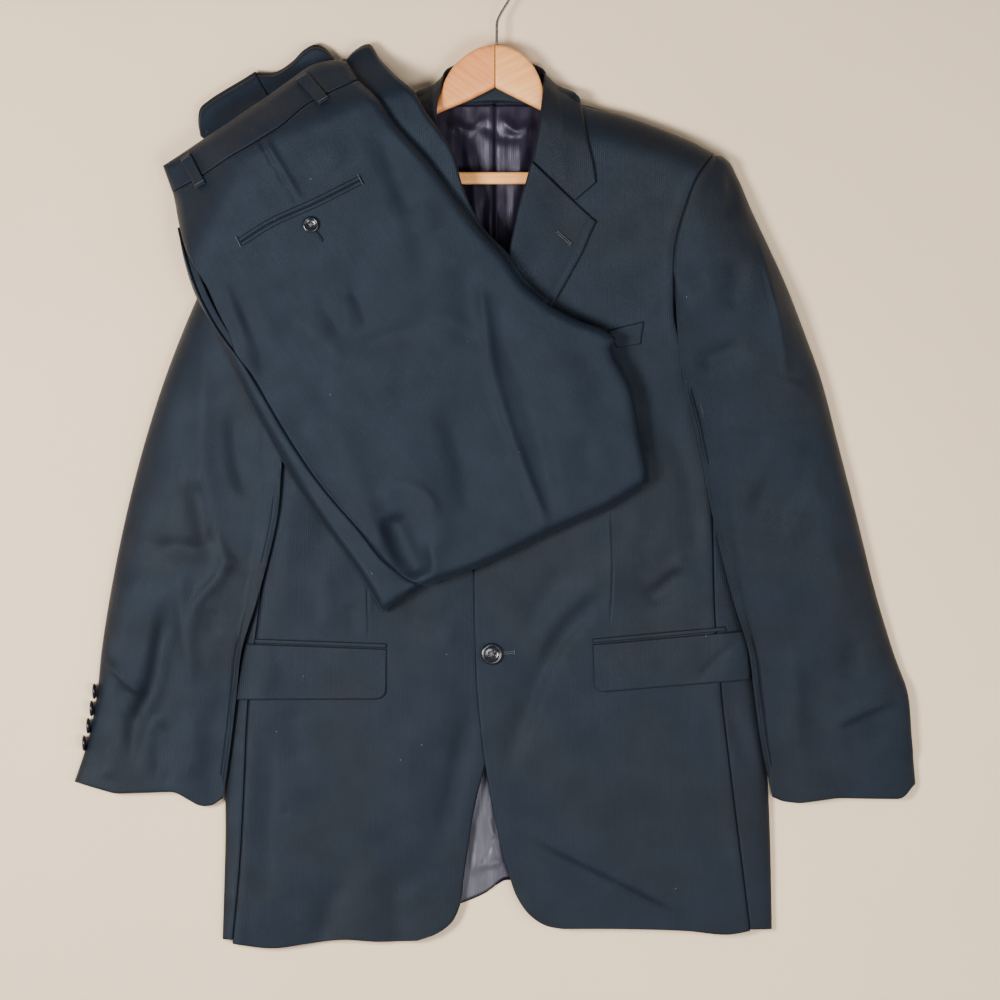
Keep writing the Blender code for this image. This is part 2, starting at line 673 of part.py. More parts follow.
def back_panel(collection, name, side):
    """Half of the back, from the centre seam to the armhole and the side's turned edge."""
    rows = np.concatenate([[372, 355, 338], np.linspace(318, 128, 7), np.linspace(95, BACK_HEM_LEVEL, 9)])
    grid = []
    for y in rows:
        if y > UNDERARM_Y:
            hole = hermite([p[1] for p in reversed(ARMHOLE)], [p[0] for p in reversed(ARMHOLE)], y)
            reach = np.interp(y, [p[1] for p in reversed(SHOULDER)], [p[0] for p in reversed(SHOULDER)])
            far = float(min(hole, reach)) - SEAM
        else:
            far = side * float(column(BODY, "right" if side > 0 else "left", y)) - SIDE_TUCK - SEAM
        across = side * np.linspace(SEAM / 2, far, 7)
        down = y * (back_hem(across) / BACK_HEM_LEVEL if y < 0 else np.ones(7))
        grid.append(list(zip(across, down, back_height(across, down))))
    return sheet(collection, name, np.array(grid), up=False)


def back_lining(collection):
    """The lining inside the back, with its centre pleat, from the neck to the hem."""
    rows = np.concatenate([[364, 350], np.linspace(330, 130, 6), np.linspace(90, BACK_HEM_LEVEL, 9)])
    grid = []
    for y in rows:
        half = float(np.interp(y, (-400, 100, 125, 320, 350, 372), (222, 178, 150, 150, 100, 46)))
        across = np.array([-half, -half * 0.5, -34, -9, -1.5, 1.5, 14, 40, half * 0.5, half])
        pleat = np.array([0, 0, 0, 1.8, 1.2, 0, 0, 0, 0, 0])
        down = y * (back_hem(across) / BACK_HEM_LEVEL if y < 0 else np.ones(10))
        down = down + LINING_HEM_RISE * (y < 0)
        high = 2.0 + 2.6 * step((y - 300) / 40)
        grid.append(list(zip(across, down, FLOOR + WALL + high + pleat)))
    return sheet(collection, "back_lining", np.array(grid), SATIN, LINING_WALL)


def lapel(collection, name, side, rows, height):
    """The folded-back front edge, lying on its front, fuller along the roll."""
    table = LAPEL[:rows]
    plan = between(table, 6, 3)
    plan[..., 0] *= side
    grid = raised(plan, height)
    share = np.linspace(0, 1, 6)[None, :]
    grid[..., 2] += COLLAR_WALL + LAYER + ROLL_LIFT * np.exp(-((share / 0.25) ** 2)) + 1.2 * share
    return sheet(collection, name, grid, WOOL, COLLAR_WALL)


def collar_rows():
    """The collar's rows from the notch of the left front round the neck to that of the right front."""
    left = list(COLLAR)
    right = [
        CollarRow(*((-x, y) for x, y in row[:3]), row.fold_z, row.edge_z) for row in reversed(COLLAR[:-1])
    ]
    return left + right


def collar(collection):
    rows = collar_rows()
    plan = between(rows, 5, 3)
    share = np.linspace(0, 1, 5)[None, :]
    low = np.array([[row.fold_z, row.edge_z] for row in rows])
    flat = low[:, 1:] + (low[:, :1] - low[:, 1:]) * (1 - share) ** 2.2
    roll = 1 + 2.5 * np.exp(-((share / 0.3) ** 2))
    over = body_top(plan[..., 0], plan[..., 1]) + COLLAR_WALL + LAYER + roll
    on_front = np.array(COLLAR_ON_FRONT + COLLAR_ON_FRONT[-2::-1])[:, None]
    z = flat + (over - flat) * on_front
    return sheet(collection, "collar", np.concatenate([plan, z[..., None]], axis=-1), WOOL, COLLAR_WALL)


def collar_stand(collection):
    """The band inside the back neck, from the fold of the collar down to the lining."""
    grid = []
    for x in np.linspace(-30, 30, 9):
        fold = 395 - 0.004 * x * x
        low = 369.5 - 0.004 * x * x
        grid.append([(x, fold, 7.6), (x, (fold + low) / 2, 7.0), (x, low, 7.6)])
    grid = np.array(grid)
    return sheet(collection, "collar_stand", grid, WOOL, WALL)


def overlaid(
    collection, name, corners, lift, rows=4, columns=8, wall=WALL, finish=WOOL, height=body_top
):
    """A small flat piece between four corners: upper left, upper right, lower left, lower right."""
    a, b, c, d = (np.array(p, float) for p in corners)
    u = np.linspace(0, 1, columns)[None, :, None]
    v = np.linspace(0, 1, rows)[:, None, None]
    plan = (1 - v) * ((1 - u) * a + u * b) + v * ((1 - u) * c + u * d)
    grid = raised(plan, height)
    grid[..., 2] += lift
    return sheet(collection, name, grid, finish, wall)


def flap(collection, name, corners):
    """A pocket flap with round lower front corners, its lower edge standing a little off the front."""
    a, b, c, d = (np.array(p, float) for p in corners)
    columns, rows = 9, 5
    u = np.linspace(0, 1, columns)
    inward = np.clip(1 - u * np.hypot(*(b - a)) / FLAP_CORNER, 0, 1)
    depth = 1 - (1 - np.sqrt(1 - inward**2)) * FLAP_CORNER / np.hypot(*(c - a))
    v = np.linspace(0, 1, rows)[:, None, None] * depth[None, :, None]
    uu = u[None, :, None]
    plan = (1 - v) * ((1 - uu) * a + uu * b) + v * ((1 - uu) * c + uu * d)
    grid = raised(plan, body_top)
    grid[..., 2] += WALL + LAYER + 1.4 * np.linspace(0, 1, rows)[:, None]
    grid[..., 2] += 2.2 * step((np.abs(plan[..., 0]) - 196) / 22)
    return sheet(collection, name, grid)


def strip(start, end, width):
    """Corners of a strip of the given width below the line from start to end."""
    start, end = np.array(start, float), np.array(end, float)
    way = (end - start) / np.hypot(*(end - start))
    down = np.array([way[1], -way[0]]) * width
    if down[1] > 0:
        down = -down
    return start, end, start + down, end + down


def turned(collection, name, profile, at, axis="z", finish=HORN, steps=20):
    """A turned piece: a profile of (radius, height) with a Screw modifier, standing on at along the axis."""
    mesh = bpy.data.meshes.new(name)
    points = [(radius * MM, 0, height * MM) for radius, height in profile]
    mesh.from_pydata(points, [(i, i + 1) for i in range(len(points) - 1)], [])
    obj = add_object(collection, name, mesh, finish)
    screw = obj.modifiers.new("turn", "SCREW")
    screw.steps = steps
    screw.render_steps = steps
    screw.use_merge_vertices = True
    screw.merge_threshold = 0.00001
    turn = {"z": (0, 0, 0), "-z": (math.pi, 0, 0), "x": (0, math.pi / 2, 0), "-x": (0, -math.pi / 2, 0)}
    obj.rotation_euler = turn[axis]
    obj.location = (at[0] * MM, at[1] * MM, at[2] * MM)
    return obj


def button_profile(radius, height):
    """Half section of a rimmed button, outer side first."""
    return (
        (0, height * 0.6),
        (radius * 0.62, height * 0.6),
        (radius * 0.76, height),
        (radius * 0.92, height),
        (radius, height * 0.6),
        (radius * 0.92, height * 0.12),
        (radius * 0.6, 0),
        (0, 0),
    )


def build_buttons(collection):
    for name, x, y in FRONT_BUTTONS:
        z = float(body_top(x, y)) + 0.9
        turned(collection, name, button_profile(*FRONT_BUTTON), (x, y, z))
    for index, y in enumerate(CUFF_BUTTON_YS, 1):
        outer = float(column(SLEEVE_RIGHT, "outer", y))
        at = (-outer - 2.4, y, CUFF_BUTTON[0] + FLOOR + 0.4)
        turned(collection, f"cuff_button_right_{index}", button_profile(*CUFF_BUTTON), at, "-x", HORN, 12)
        outer = float(column(SLEEVE_LEFT, "outer", y))
        at = (outer - 12, y, FLOOR + CUFF_BUTTON[1] + 0.4)
        turned(collection, f"cuff_button_left_{index}", button_profile(*CUFF_BUTTON), at, "-z", HORN, 12)


def build_jacket(collection):
    front(collection, "front_left", 1, EDGE_LEFT, SEAM_LEFT, HEM_LEFT[:5], body_top)
    front(collection, "front_right", -1, EDGE_RIGHT, SEAM_RIGHT, mirrored(HEM_RIGHT[:6]), overlap_height)
    side_panel(collection, "side_left", 1, SEAM_LEFT, -397.5)
    side_panel(collection, "side_right", -1, SEAM_RIGHT, -407)
    back_panel(collection, "back_left", 1)
    back_panel(collection, "back_right", -1)
    back_lining(collection)
    sleeve(collection, "sleeve_left", 1, SLEEVE_LEFT, CUFF_LEFT)
    sleeve(collection, "sleeve_right", -1, SLEEVE_RIGHT, CUFF_RIGHT)
    lapel(collection, "lapel_left", 1, len(LAPEL), body_top)
    lapel(collection, "lapel_right", -1, LAPEL_ROWS_UNDER, overlap_height)
    collar(collection)
    collar_stand(collection)
    flap(collection, "flap_left", FLAP_LEFT)
    flap(collection, "flap_right", FLAP_RIGHT)
    overlaid(collection, "flap_jet_left", strip(*JET_LEFT, JET_WIDTH), WALL + LAYER, 2, 12)
    overlaid(collection, "flap_jet_right", strip(*JET_RIGHT, JET_WIDTH), WALL + LAYER + 0.6, 2, 12)
    overlaid(collection, "chest_welt", WELT, WALL + LAYER, 3, 4)
    build_buttons(collection)


# ---------------------------------------------------------------- hanger

def hanger_half(collection, name, side):
    """Half of the wooden hanger: a flat crowned arm from the centre joint out to the shoulder."""
    sections = []
    bevel = HANGER_BEVEL
    for row in HANGER:
        end = 4.0 if row is HANGER[-1] else 0.0
        high, low, base, crown = row.top - end, row.low + end, row.base, row.crown
        ring = (
            (high, base + bevel), (high - bevel, base), (low + bevel, base), (low, base + bevel),
            (low, crown - bevel), (low + bevel, crown), (high - bevel, crown), (high, crown - bevel),
        )
        sections.append([(side * row.x, y, z) for y, z in ring])
    points = metres(np.array(sections).reshape(-1, 3))
    count = 8
    last = (len(sections) - 1) * count
    faces = [tuple(range(count)), tuple(range(last, last + count))]
    for start in range(0, last, count):
        for j in range(count):
            k = (j + 1) % count
            faces.append((start + j, start + k, start + count + k, start + count + j))
    mesh = bpy.data.meshes.new(name)
    mesh.from_pydata([tuple(p) for p in points], [], faces)
    shape = bmesh.new()
    shape.from_mesh(mesh)
    bmesh.ops.recalc_face_normals(shape, faces=shape.faces)
    shape.to_mesh(mesh)
    shape.free()
    add_object(collection, name, mesh, WOOD)


def hanger_bar(collection):
    shape = bmesh.new()
    bmesh.ops.create_cube(shape, size=1)
    for vertex in shape.verts:
        vertex.co.x *= 2 * BAR_HALF * MM
        vertex.co.y *= BAR_SIZE[0] * MM
        vertex.co.z *= BAR_SIZE[1] * MM
    mesh = bpy.data.meshes.new("hanger_bar")
    shape.to_mesh(mesh)
    shape.free()
    obj = add_object(collection, "hanger_bar", mesh, WOOD)
    obj.location = (0, BAR_Y * MM, BAR_Z * MM)
    bevel = obj.modifiers.new("round", "BEVEL")
    bevel.width = 0.002
    bevel.segments = 2


def hanger_hook(collection):
    """A bent wire: up from the wood, a kink, and round."""
    stem = [(1.5, 419.0), (1.6, 430), (2.0, 440), (6.5, 450)]
    turns = np.radians(np.linspace(-56, 212, 22))
    x, y = HOOK_CENTRE
    arc = [(x + HOOK_RADIUS * math.cos(a), y + HOOK_RADIUS * math.sin(a)) for a in turns]
    curve = bpy.data.curves.new("hanger_hook", "CURVE")
    curve.dimensions = "3D"
    curve.bevel_depth = HOOK_WIRE * MM
    curve.bevel_resolution = 2
    curve.use_fill_caps = True
    spline = curve.splines.new("POLY")
    points = metres([(x, y + 1.5, HOOK_Z) for x, y in stem + arc])
    spline.points.add(len(points) - 1)
    for point, co in zip(spline.points, points):
        point.co = (*co, 1)
    add_object(collection, "hanger_hook", curve, STEEL, smooth=False)


# ---------------------------------------------------------------- trousers

def pile_under(x, y):
    """Height that the hidden layers reach: clear of the upper layer all round each point."""
    lowest = trouser_top(x, y)
    for reach in (9, 18):
        for angle in np.radians(np.arange(0, 360, 45)):
            around = trouser_top(x + reach * math.cos(angle), y + reach * math.sin(angle))
            lowest = np.minimum(lowest, around)
    return lowest - WALL - 2.2


def folded_legs(collection):
    """The hidden layers of the folded trousers as one rounded solid under the upper layer."""
    rows, columns = 15, 11
    plan = patch(
        [WAIST_SEAM], [BOTTOM_CORNER[::-1], BOTTOM_FOLD[::-1]], [FRONT_EDGE[::-1]], [SEAT, CROTCH, INSEAM],
        rows, columns, 0.8,
    )
    across = np.linspace(-1, 1, columns)[None, :]
    down = np.linspace(-1, 1, rows)[:, None]
    inset = 0.014 * (np.abs(across) ** 6 + np.abs(down) ** 6)
    plan = plan + (plan.mean(axis=(0, 1)) - plan) * inset[..., None]
    on_seat = step((across - 0.5) / 0.5) * step((0.35 - down) / 0.3)
    plan = plan - on_seat[..., None] * np.array(SEAT_NORMAL) * SEAT_INSET
    low = underlay(plan[..., 0], plan[..., 1]) + 0.3
    high = np.maximum(pile_under(plan[..., 0], plan[..., 1]), low + 2.4)
    return pillow(collection, "folded_legs", plan, low, high)


def pillow(collection, name, plan, low, high, finish=WOOL):
    """A closed solid between two heights over a plan, its two sides joined at the rim."""
    rows, columns = low.shape
    rim = np.ones(low.shape, bool)
    rim[1:-1, 1:-1] = False
    middle = np.minimum((low + high) / 2, low + 1.6)
    both = np.concatenate([plan, np.where(rim, middle, high)[..., None], low[..., None]], axis=-1)
    both = facing(both)
    points = list(metres(both[..., :3].reshape(-1, 3)))
    under = {}
    for r in range(rows):
        for c in range(columns):
            if r in (0, rows - 1) or c in (0, columns - 1):
                under[r, c] = r * columns + c
            else:
                under[r, c] = len(points)
                points.append(metres(both[r, c][[0, 1, 3]]))
    faces = []
    for r in range(rows - 1):
        for c in range(columns - 1):
            here = r * columns + c
            faces.append((here, here + columns, here + columns + 1, here + 1))
            faces.append((under[r, c], under[r, c + 1], under[r + 1, c + 1], under[r + 1, c]))
    mesh = bpy.data.meshes.new(name)
    mesh.from_pydata([tuple(p) for p in points], [], faces)
    mesh.update()
    return add_object(collection, name, mesh, finish)


def outseam_x(y):
    points = sorted(OUTSEAM, key=lambda p: p[1])
    return hermite([p[1] for p in points], [p[0] for p in points], y)


def front_strip_plan(columns):
    """The strip of the front that shows: a lip along the side pocket, wider below it."""
    rows = []
    for row in FRONT_STRIP:
        inner = (float(outseam_x(row.inner_y)) - row.gap, row.inner_y)
        rows.append((row.outer, inner))
    return between(rows, columns)


def pocket_facing(collection):
    """The dark strip inside the side pocket's open mouth."""
    rows = []
    for row in FRONT_STRIP[1:5]:
        lip = float(outseam_x(row.inner_y)) - row.gap
        rows.append(((lip + 0.7, row.inner_y - 0.5), (lip + FACING_WIDTH, row.inner_y + 3)))
    plan = between(rows, 3)
    grid = raised(plan, trouser_top)
    grid[..., 2] = grid[:, :1, 2] - FACING_DEPTH
    sheet(collection, "side_pocket_facing", grid)


def ribbon(points, near, far, columns):
    """Plan of a strip between two distances below a line that runs from left to right."""
    line = route([points], np.linspace(0, 1, columns))
    way = np.gradient(line, axis=0)
    down = np.stack([way[:, 1], -way[:, 0]], axis=-1) / np.hypot(*way.T)[:, None]
    return np.stack([line + down * near, line + down * far])


def on_trousers(collection, name, plan, lift, wall=WALL):
    grid = raised(plan, trouser_top)
    grid[..., 2] += lift
    return sheet(collection, name, grid, WOOL, wall)


def leg_layer(collection, name, edges, columns, rise):
    """A folded leg's end or edge that shows beyond the upper layer, as a thin rounded solid."""
    outer, inner = (route([edge], np.linspace(0, 1, columns)) for edge in edges)
    share = np.linspace(0, 1, 5)[:, None, None]
    plan = (1 - share) * outer + share * inner
    low = underlay(plan[..., 0], plan[..., 1]) + rise
    return pillow(collection, name, plan, low, low + LEG_LAYER)


def build_trousers(collection):
    plan = patch([WAIST_SEAM], [BOTTOM_FOLD[::-1]], [OUTSEAM], [SEAT, CROTCH, INSEAM], 17, 13, 0.7)
    sheet(collection, "trouser_back", raised(plan, trouser_top))
    sheet(collection, "trouser_front", raised(front_strip_plan(4), trouser_top))
    seam = tuple((x + WAIST_NORMAL[0] * 1.2, y + WAIST_NORMAL[1] * 1.2) for x, y in WAIST_SEAM)
    band = patch([WAIST_TOP], [seam], [(WAIST_TOP[0], seam[0])], [(WAIST_TOP[-1], seam[-1])], 5, 12)
    sheet(collection, "waistband", raised(band, trouser_top))
    lift = LOOP_WALL + 2 * LAYER
    overlaid(collection, "belt_loop_side", LOOP_SIDE, lift, 8, 2, LOOP_WALL, WOOL, trouser_top)
    overlaid(collection, "belt_loop_back", LOOP_BACK, lift, 8, 2, LOOP_WALL, WOOL, trouser_top)
    on_trousers(collection, "pocket_jet_upper", ribbon(BACK_POCKET, 0, POCKET_JET, 10), WALL + LAYER)
    lower = ribbon(BACK_POCKET, POCKET_JET + SEAM, 2 * POCKET_JET + SEAM, 10)
    on_trousers(collection, "pocket_jet_lower", lower, WALL + LAYER)
    on_trousers(collection, "pocket_loop", ribbon(POCKET_LOOP, -1.1, 1.1, 4), WALL + LAYER)
    x, y = POCKET_BUTTON
    z = float(trouser_top(np.array(x), np.array(y))) + 1.4
    turned(collection, "pocket_button", button_profile(*TROUSER_BUTTON), (x, y, z))
    pocket_facing(collection)
    folded_legs(collection)
    leg_layer(collection, "leg_hem_upper", HEM_UPPER, 8, 0.5)
    leg_layer(collection, "leg_hem_lower", HEM_LOWER, 10, 0.5)
    leg_layer(collection, "leg_side", LEG_SIDE, 16, 0.5)


def clear_scene():
    for obj in list(bpy.data.objects):
        bpy.data.objects.remove(obj, do_unlink=True)


def centre(collection):
    """Moves every object so that the origin is at the bottom centre of the whole suit."""
    graph = bpy.context.evaluated_depsgraph_get()
    corners = []
    for obj in collection.objects:
        done = obj.evaluated_get(graph)
        mesh = done.to_mesh()
        points = np.empty(len(mesh.vertices) * 3)
        mesh.vertices.foreach_get("co", points)
        world = np.array(done.matrix_world)
        points = points.reshape(-1, 3) @ world[:3, :3].T + world[:3, 3]
        corners += [points.min(axis=0), points.max(axis=0)]
        done.to_mesh_clear()
    low, high = np.min(corners, axis=0), np.max(corners, axis=0)
    offset = np.array([(low[0] + high[0]) / 2, (low[1] + high[1]) / 2, low[2]])
    for obj in collection.objects:
        obj.location = np.array(obj.location) - offset


def main():
    clear_scene()
    collection = bpy.data.collections.new(COLLECTION)
    bpy.context.scene.collection.children.link(collection)
    build_jacket(collection)
    hanger_half(collection, "hanger_left", 1)
    hanger_half(collection, "hanger_right", -1)
    hanger_bar(collection)
    hanger_hook(collection)
    build_trousers(collection)
    centre(collection)


main()
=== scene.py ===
"""Two-piece suit laid out flat on its wooden hanger, the folded trousers lying across one shoulder.

Sizes are in millimetres in the maker's frame: x runs across the jacket from its centre line, y up
towards the hanger and z up from the surface that the suit lies on. Bench turns them into the model's
own frame, in metres.
"""

import logging
import math
from dataclasses import dataclass, field
from enum import Enum
from typing import Callable, ClassVar, Sequence

import bmesh
import bpy
import numpy as np
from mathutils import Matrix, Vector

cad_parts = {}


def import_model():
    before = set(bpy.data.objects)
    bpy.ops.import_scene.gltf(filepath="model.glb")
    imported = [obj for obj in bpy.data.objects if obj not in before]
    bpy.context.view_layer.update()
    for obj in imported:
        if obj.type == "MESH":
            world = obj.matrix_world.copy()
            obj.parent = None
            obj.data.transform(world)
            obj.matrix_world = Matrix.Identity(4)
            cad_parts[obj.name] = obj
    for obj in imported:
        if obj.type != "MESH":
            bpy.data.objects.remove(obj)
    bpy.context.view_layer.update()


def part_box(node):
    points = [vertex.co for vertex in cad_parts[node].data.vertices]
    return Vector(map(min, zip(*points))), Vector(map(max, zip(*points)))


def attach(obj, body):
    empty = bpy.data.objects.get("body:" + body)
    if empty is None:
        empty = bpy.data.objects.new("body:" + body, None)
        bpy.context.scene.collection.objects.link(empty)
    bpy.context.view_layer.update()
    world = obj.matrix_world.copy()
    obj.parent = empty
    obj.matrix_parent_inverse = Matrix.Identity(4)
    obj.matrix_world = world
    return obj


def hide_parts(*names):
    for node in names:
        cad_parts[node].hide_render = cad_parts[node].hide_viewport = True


LOG = logging.getLogger("suit")
MM = 0.001
Array = np.ndarray
UNEVEN = 0.35  # height of the cloth's own soft waves, in millimetres
Point = tuple[float, float]
Line = tuple[Point, ...]
Row = tuple[float, ...]
Rims = dict[str, tuple[float, float]]
Faces = list[tuple[int, ...]]
Object = bpy.types.Object
Material = bpy.types.Material
Mesh = bpy.types.Mesh
Height = Callable[[Array, Array], Array]


# ---- curves

def step(value: Array | float) -> Array:
    """Smooth step from 0 to 1."""
    value = np.clip(value, 0.0, 1.0)
    return value * value * (3 - 2 * value)


def quarter(value: Array | float) -> Array:
    """Quarter of an ellipse from 0 to 1, upright at 0 and flat at 1."""
    return np.sqrt(1 - (1 - np.clip(value, 0.0, 1.0)) ** 2)


def hermite(keys: Sequence[float], values: Sequence, at: Array | float) -> Array:
    """Smooth curve through values.

    Args:
        keys: Rising places of the values.
        values: A number or a point for each key.
        at: The places asked for.

    Returns:
        The value at each place.
    """
    keys = np.asarray(keys, float)
    values = np.asarray(values, float)
    at = np.clip(np.asarray(at, float), keys[0], keys[-1])
    slope = np.gradient(values, keys, axis=0)
    index = np.clip(np.searchsorted(keys, at) - 1, 0, len(keys) - 2)
    span = keys[index + 1] - keys[index]
    part = (at - keys[index]) / span
    if values.ndim > 1:
        span = span[..., None]
        part = part[..., None]
    return (
        (2 * part**3 - 3 * part**2 + 1) * values[index]
        + (part**3 - 2 * part**2 + part) * span * slope[index]
        + (3 * part**2 - 2 * part**3) * values[index + 1]
        + (part**3 - part**2) * span * slope[index + 1]
    )


def follow(line: Line, at: Array | float, key: int = 0) -> Array:
    """A line's y at any x, smooth between its points, or with key 1 its x at any y."""
    points = np.array(sorted(line, key=lambda point: point[key]), float)
    return hermite(points[:, key], points[:, 1 - key], at)


def lengths(points: Array) -> Array:
    """How far along its line each point is."""
    return np.concatenate([[0], np.cumsum(np.linalg.norm(np.diff(points, axis=0), axis=1))])


def route(pieces: Sequence[Line], places: Array) -> Array:
    """Points along smooth curves joined end to end.

    Args:
        pieces: The curves, each through its own points.
        places: Where along the whole, from 0 to 1.

    Returns:
        One point for each place.
    """
    dense = []
    for piece in pieces:
        points = np.asarray(piece, float)
        run = lengths(points)
        dense.append(hermite(run, points, np.linspace(0, run[-1], 12 * len(points))))
    line = np.concatenate(dense)
    run = lengths(line)
    at = np.asarray(places) * run[-1]
    return np.stack([np.interp(at, run, line[:, k]) for k in range(line.shape[1])], axis=-1)


def mirrored(points: Line, side: int = -1) -> Line:
    """The points on the other side of the centre line, or as they are with side 1."""
    return tuple((side * x, y) for x, y in points)


def stops(length: float, pitch: float, rim: float = 4.0, dense: Sequence[tuple[float, float]] = ()) -> Array:
    """Places from 0 to 1 for a grid's lines, closer together at both rims and at dense places.

    Args:
        length: The real length that 1 stands for.
        pitch: How far apart the lines are.
        rim: How far in from each end they are close.
        dense: Places (from 0 to 1) and reaches where they are close too.

    Returns:
        The rising places.
    """
    fine = 0.75
    edges = np.arange(0, rim, fine) / length
    places = [np.linspace(0, 1, max(4, int(length / pitch)) + 1), edges, 1 - edges]
    for centre, reach in dense:
        places.append(centre + np.arange(-reach, reach + fine, fine) / length)
    places = np.unique(np.round(np.clip(np.concatenate(places), 0, 1), 6))
    keep = np.concatenate([[True], np.diff(places) > 0.3 * fine / length])
    keep[-1] = True
    return places[keep]


def inside_by(x: Array, y: Array, outline: Array) -> Array:
    """Distance from (x, y) to a closed outline, positive inside."""
    x, y = np.asarray(x, float), np.asarray(y, float)
    nearest = np.full(x.shape, 1e9)
    inside = np.zeros(x.shape, bool)
    for (ax, ay), (bx, by) in zip(outline, np.roll(outline, -1, axis=0)):
        length = max((bx - ax) ** 2 + (by - ay) ** 2, 1e-9)
        part = np.clip(((x - ax) * (bx - ax) + (y - ay) * (by - ay)) / length, 0, 1)
        nearest = np.minimum(nearest, (x - ax - part * (bx - ax)) ** 2 + (y - ay - part * (by - ay)) ** 2)
        if ay != by:
            inside ^= ((ay > y) != (by > y)) & (x < ax + (y - ay) * (bx - ax) / (by - ay))
    nearest = np.sqrt(nearest)
    return np.where(inside, nearest, -nearest)


def ripple(x: Array, y: Array, seed: int, wave: float) -> Array:
    """Uneven soft waves about as high as 1, wave millimetres long and the same on every run."""
    rng = np.random.default_rng(seed)
    total = np.zeros(np.broadcast(x, y).shape)
    for _ in range(7):
        angle, phase = rng.uniform(0, math.pi), rng.uniform(0, 2 * math.pi)
        rate = 2 * math.pi / (wave * rng.uniform(0.6, 1.7))
        total = total + np.sin((x * math.cos(angle) + y * math.sin(angle)) * rate + phase)
    return total / 3.5


@dataclass(frozen=True)
class Fold:
    """A ridge, or with a negative height a trough, along a line that may bend.

    lean makes the slope on one side of the line's way steeper: the right side for a positive lean.
    """

    line: Line
    width: float
    height: float
    lean: float = 0.0
    fade: float = 0.3

    def rise(self, x: Array, y: Array) -> Array:
        """Height that the fold adds at (x, y)."""
        path = np.array(self.line, float)
        if len(path) > 2:
            path = route([self.line], np.linspace(0, 1, 5 * len(path)))
        reach = 2.2 * self.width * (1 + abs(self.lean))
        low, high = path.min(axis=0) - reach, path.max(axis=0) + reach
        near = (x > low[0]) & (x < high[0]) & (y > low[1]) & (y < high[1])
        total = np.zeros(x.shape)
        if not near.any():
            return total
        px, py = x[near], y[near]
        run = lengths(path)
        best = np.full(px.shape, 1e12)
        side = np.zeros(px.shape)
        along = np.zeros(px.shape)
        for k in range(len(path) - 1):
            a, way = path[k], path[k + 1] - path[k]
            size = float(way @ way)
            part = ((px - a[0]) * way[0] + (py - a[1]) * way[1]) / size
            held = np.clip(part, 0, 1)
            gap = (px - a[0] - held * way[0]) ** 2 + (py - a[1] - held * way[1]) ** 2
            closer = gap < best
            best = np.where(closer, gap, best)
            turn = (px - a[0]) * way[1] - (py - a[1]) * way[0]
            side = np.where(closer, np.sign(turn), side)
            along = np.where(closer, run[k] + held * math.sqrt(size), along)
        width = self.width * (1 - self.lean * side)
        ends = step(along / (self.fade * run[-1])) * step((run[-1] - along) / (self.fade * run[-1]))
        total[near] = self.height * ends * np.exp(-2 * best / width**2)
        return total


def folded(x: Array, y: Array, folds: Sequence[Fold]) -> Array:
    """Sum of what the folds add at (x, y)."""
    x, y = np.broadcast_arrays(np.asarray(x, float), np.asarray(y, float))
    total = np.zeros(x.shape)
    for fold in folds:
        total = total + fold.rise(x, y)
    return total


def patch(top: Sequence[Line], bottom: Sequence[Line], left: Sequence[Line], right: Sequence[Line],
          u: Array, v: Array) -> Array:
    """Plan of a panel between four edges.

    Args:
        top, bottom: Its upper and lower edge, each from left to right.
        left, right: Its side edges, each from the top down.
        u, v: Places of the grid's lines across and down.

    Returns:
        Rows of points (x, y).
    """
    t, b = route(top, u), route(bottom, u)
    l, r = route(left, v), route(right, v)
    uu, vv = u[None, :, None], v[:, None, None]
    corners = (1 - uu) * (1 - vv) * t[0] + uu * (1 - vv) * t[-1] + (1 - uu) * vv * b[0] + uu * vv * b[-1]
    return (1 - vv) * t[None] + vv * b[None] + (1 - uu) * l[:, None] + uu * r[:, None] - corners


def quad(corners: Line, u: Array, v: Array) -> Array:
    """Plan between upper left, upper right, lower left and lower right corners, at places across and down."""
    a, b, c, d = (np.array(p, float) for p in corners)
    return (1 - v) * ((1 - u) * a + u * b) + v * ((1 - u) * c + u * d)


def raised(plan: Array, height: Height, lift: float = 0.0) -> Array:
    """The plan's points with their height over the surface."""
    return np.concatenate([plan, height(plan[..., 0], plan[..., 1])[..., None] + lift], axis=-1)


def rim_distance(grid: Array) -> dict[str, Array]:
    """Distance of each point of a grid or a plan from its four edges, measured along it."""
    across = np.linalg.norm(np.diff(grid, axis=1), axis=2)
    down = np.linalg.norm(np.diff(grid, axis=0), axis=2)
    left = np.concatenate([np.zeros((grid.shape[0], 1)), np.cumsum(across, axis=1)], axis=1)
    top = np.concatenate([np.zeros((1, grid.shape[1])), np.cumsum(down, axis=0)], axis=0)
    return {"left": left, "right": left[:, -1:] - left, "top": top, "bottom": top[-1:] - top}


def all_round(reach: float, drop: float) -> Rims:
    """The same bend on all four edges, for rolled."""
    return {edge: (reach, drop) for edge in ("left", "right", "top", "bottom")}


def rolled(grid: Array, **edges: tuple[float, float]) -> Array:
    """The grid with some edges bent down.

    Args:
        grid: Rows of points.
        edges: For left, right, top or bottom, how far in the bend starts and how far down it goes.

    Returns:
        The bent grid.
    """
    far = rim_distance(grid)
    grid = grid.copy()
    for edge, (reach, drop) in edges.items():
        grid[..., 2] -= drop * (1 - quarter(far[edge] / reach))
    return grid


